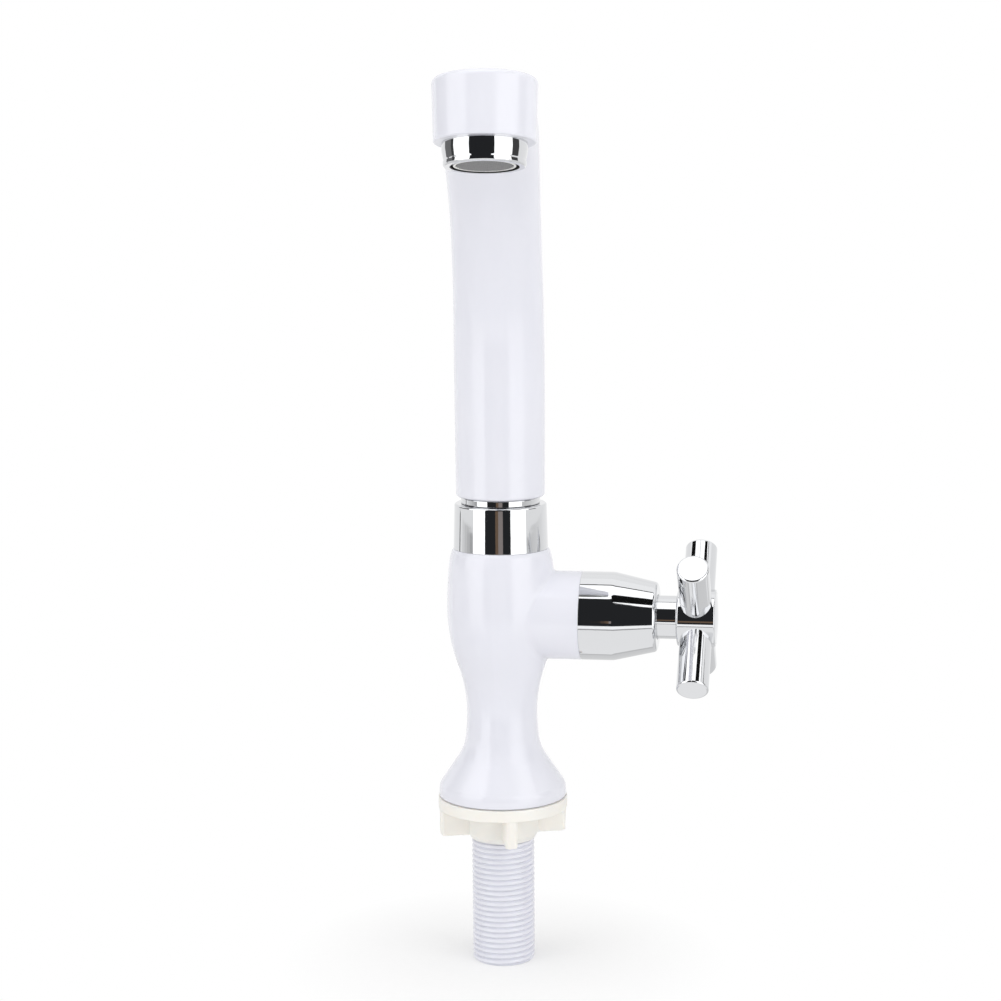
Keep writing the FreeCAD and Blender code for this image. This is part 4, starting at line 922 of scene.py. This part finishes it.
add_card("room_dark", (-39, 24), (-17, 54), "#292A2C", distance=0.95)
add_card("room_brown", (-13, -6), (-10, -4), "#74604F", distance=0.93)
add_card("room_grey", (-6, 5), (-10, -4), "#938A87", distance=0.93)
add_card("high_dark", (12, 45), (45, 62), "#141414", distance=0.87)
add_card("high_gap", (19, 30), (37, 43.5), "#FFFFFF", 1.6, distance=0.87)
add_card("left_flag", (-125, -95), (0, 24), "#787878", distance=0.87)
add_card("left_flag_edge", (-95, -85), (0, 24), "#464646", distance=0.87)
add_card("right_flag", (74, 99), (0, 24), "#4A4A4A", distance=0.87)
add_card("high_left_flag", (-118, -95), (28, 62), "#141414", distance=0.87)
add_card("high_right_flag", (45, 84), (46, 66), "#141414", distance=0.87)
add_card("left_edge", (-120.5, -117), (-30, -6), "#202020")
left_wall = ("#BABABA", "#CDCDCD", "#DDDDDD", "#ECECEC")
for k, tone in enumerate(left_wall):
    add_card(f"left_wall_{k + 1}", (-81 - 9 * k, -72 - 9 * k), (-30, -6), tone)
right_wall = ("#D9D9D9", "#DDDDDD", "#E1E1E1", "#E5E5E5", "#E9E9E9", "#EDEDED", "#F1F1F1", "#F5F5F5",
              "#F9F9F9", "#FDFDFD")
for k, tone in enumerate(right_wall):
    add_card(f"right_wall_{k + 1}", (65 + 6.5 * k, 71.5 + 6.5 * k), (-30, -6), tone, distance=0.89)
add_card("tabletop_near", (-90, 90), (-25, -17.5), "#FFFFFF", 1.27)
add_card("tabletop_line", (-90, 90), (-28, -25), "#B2B2B2")
add_card("tabletop", (-90, 90), (-108, -28), "#FFFFFF", 1.06)
add_card("tabletop_edge", (-90, 90), (-113, -108), "#D6D6D6")
add_card("low_wall_behind", (-90, 90), (-160, -113), "#E8E8E8")

def add_softbox(name, betas, elevations, glow, light, distance=0.9):
    """A card that reflections see, and an area light of its size that lights the tap."""
    add_card(name + "_face", betas, elevations, "#FFFFFF", glow, distance)
    width = 2 * distance * tan(radians(betas[1] - betas[0]) / 2)
    height = 2 * distance * tan(radians(elevations[1] - elevations[0]) / 2)
    lamp = bpy.data.lights.new(name, "AREA")
    lamp.shape = "RECTANGLE"
    lamp.size = width
    lamp.size_y = height
    lamp.energy = light * pi * width * height
    source = bpy.data.objects.new(name, lamp)
    bpy.context.collection.objects.link(source)
    towards = direction(sum(betas) / 2, sum(elevations) / 2)
    source.location = room_middle + towards * distance
    source.rotation_euler = towards.to_track_quat("Z", "Y").to_euler()
    source.visible_camera = False
    source.visible_glossy = False

add_softbox("left_softbox", (-70.5, -39), (-30, 50), glow=1.8, light=1.25)
add_softbox("right_softbox", (24, 64), (-30, 50), glow=1.8, light=1.25)
add_softbox("overhead_softbox", (-60, 45), (54, 101), glow=1.6, light=0.7)
add_card("left_softbox_wing", (-85, -70.5), (0, 50), "#FFFFFF", 1.8)
add_card("right_softbox_wing", (64, 74), (0, 45), "#FFFFFF", 1.8)

add_ceiling("overhead_sheet", -0.32, 0.082, "#FFFFFF", 1.6)
add_ceiling("ceiling_seam", 0.082, 0.126, "#141414")
add_ceiling("ceiling_near", 0.126, 0.5, "#FFFFFF", 1.16)
add_ceiling("ceiling_far", 0.5, 1.1, "#FFFFFF", 1.06)

# The floor is matt white paper. It catches a faint contact shadow and turns to plain white
# away from the tap, as the backdrop does.
paper, tree = new_material("matt white paper")
fibre_mm = 2.0
fade_start = 0.01
fade_end = 0.075
white_near_tap = 0.4
floor_half = 6.0
place = add_node(tree, "TexCoord").outputs["Object"]
away = add_node(tree, "VectorMath", {0: place}, operation="LENGTH")
fade = add_node(tree, "MapRange", {"Value": away.outputs["Value"], "From Min": fade_start,
                "From Max": fade_end, "To Min": white_near_tap})
fibre = add_node(tree, "TexNoise", {"Vector": place, "Scale": 1 / (fibre_mm * MM), "Detail": 4.0})
tone = add_node(tree, "Mix", {"Factor": fibre.outputs["Fac"], "A": paint("#F6F6F6"), "B": paint("#FCFCFC")},
                data_type="RGBA")
matt = add_node(tree, "BsdfDiffuse", {"Color": tone.outputs["Result"]})
white = add_node(tree, "Emission", {"Color": paint("#FFFFFF"), "Strength": 1.0})
seen = add_node(tree, "LightPath")
share = add_node(tree, "Math", {0: fade.outputs["Result"], 1: seen.outputs["Is Camera Ray"]},
                 operation="MULTIPLY")
both = add_node(tree, "MixShader", {0: share.outputs["Value"], 1: matt.outputs["BSDF"],
                2: white.outputs["Emission"]})
add_node(tree, "OutputMaterial", {"Surface": both.outputs["Shader"]})
mesh = bmesh.new()
bmesh.ops.create_grid(mesh, x_segments=1, y_segments=1, size=floor_half)
data = bpy.data.meshes.new("floor")
mesh.to_mesh(data)
mesh.free()
data.materials.append(paper)
floor = bpy.data.objects.new("floor", data)
bpy.context.collection.objects.link(floor)
floor.location.z = floor_z
floor.visible_glossy = False

# Camera
# The photograph's own view: a long lens a little above the collar, to the right of the spout. It
# looks down a little and leans a trace to one side.
photo_px = 1001
focal_px = 2317
sensor_mm = 36.0
camera_distance = 0.756
camera_height = 0.211
camera_down = 8.38
camera_lean = -0.46
camera_data = bpy.data.cameras.new("camera")
camera_data.sensor_width = sensor_mm
camera_data.lens = sensor_mm * focal_px / photo_px
camera_data.clip_start = 0.01
camera = bpy.data.objects.new("camera", camera_data)
bpy.context.collection.objects.link(camera)
camera.location = (camera_distance * sin(radians(view_azimuth)),
                   -camera_distance * cos(radians(view_azimuth)), camera_height)
camera.rotation_euler = (Matrix.Rotation(radians(view_azimuth), 3, "Z")
                         @ Matrix.Rotation(radians(90 - camera_down), 3, "X")
                         @ Matrix.Rotation(radians(camera_lean), 3, "Z")).to_euler()
scene.camera = camera
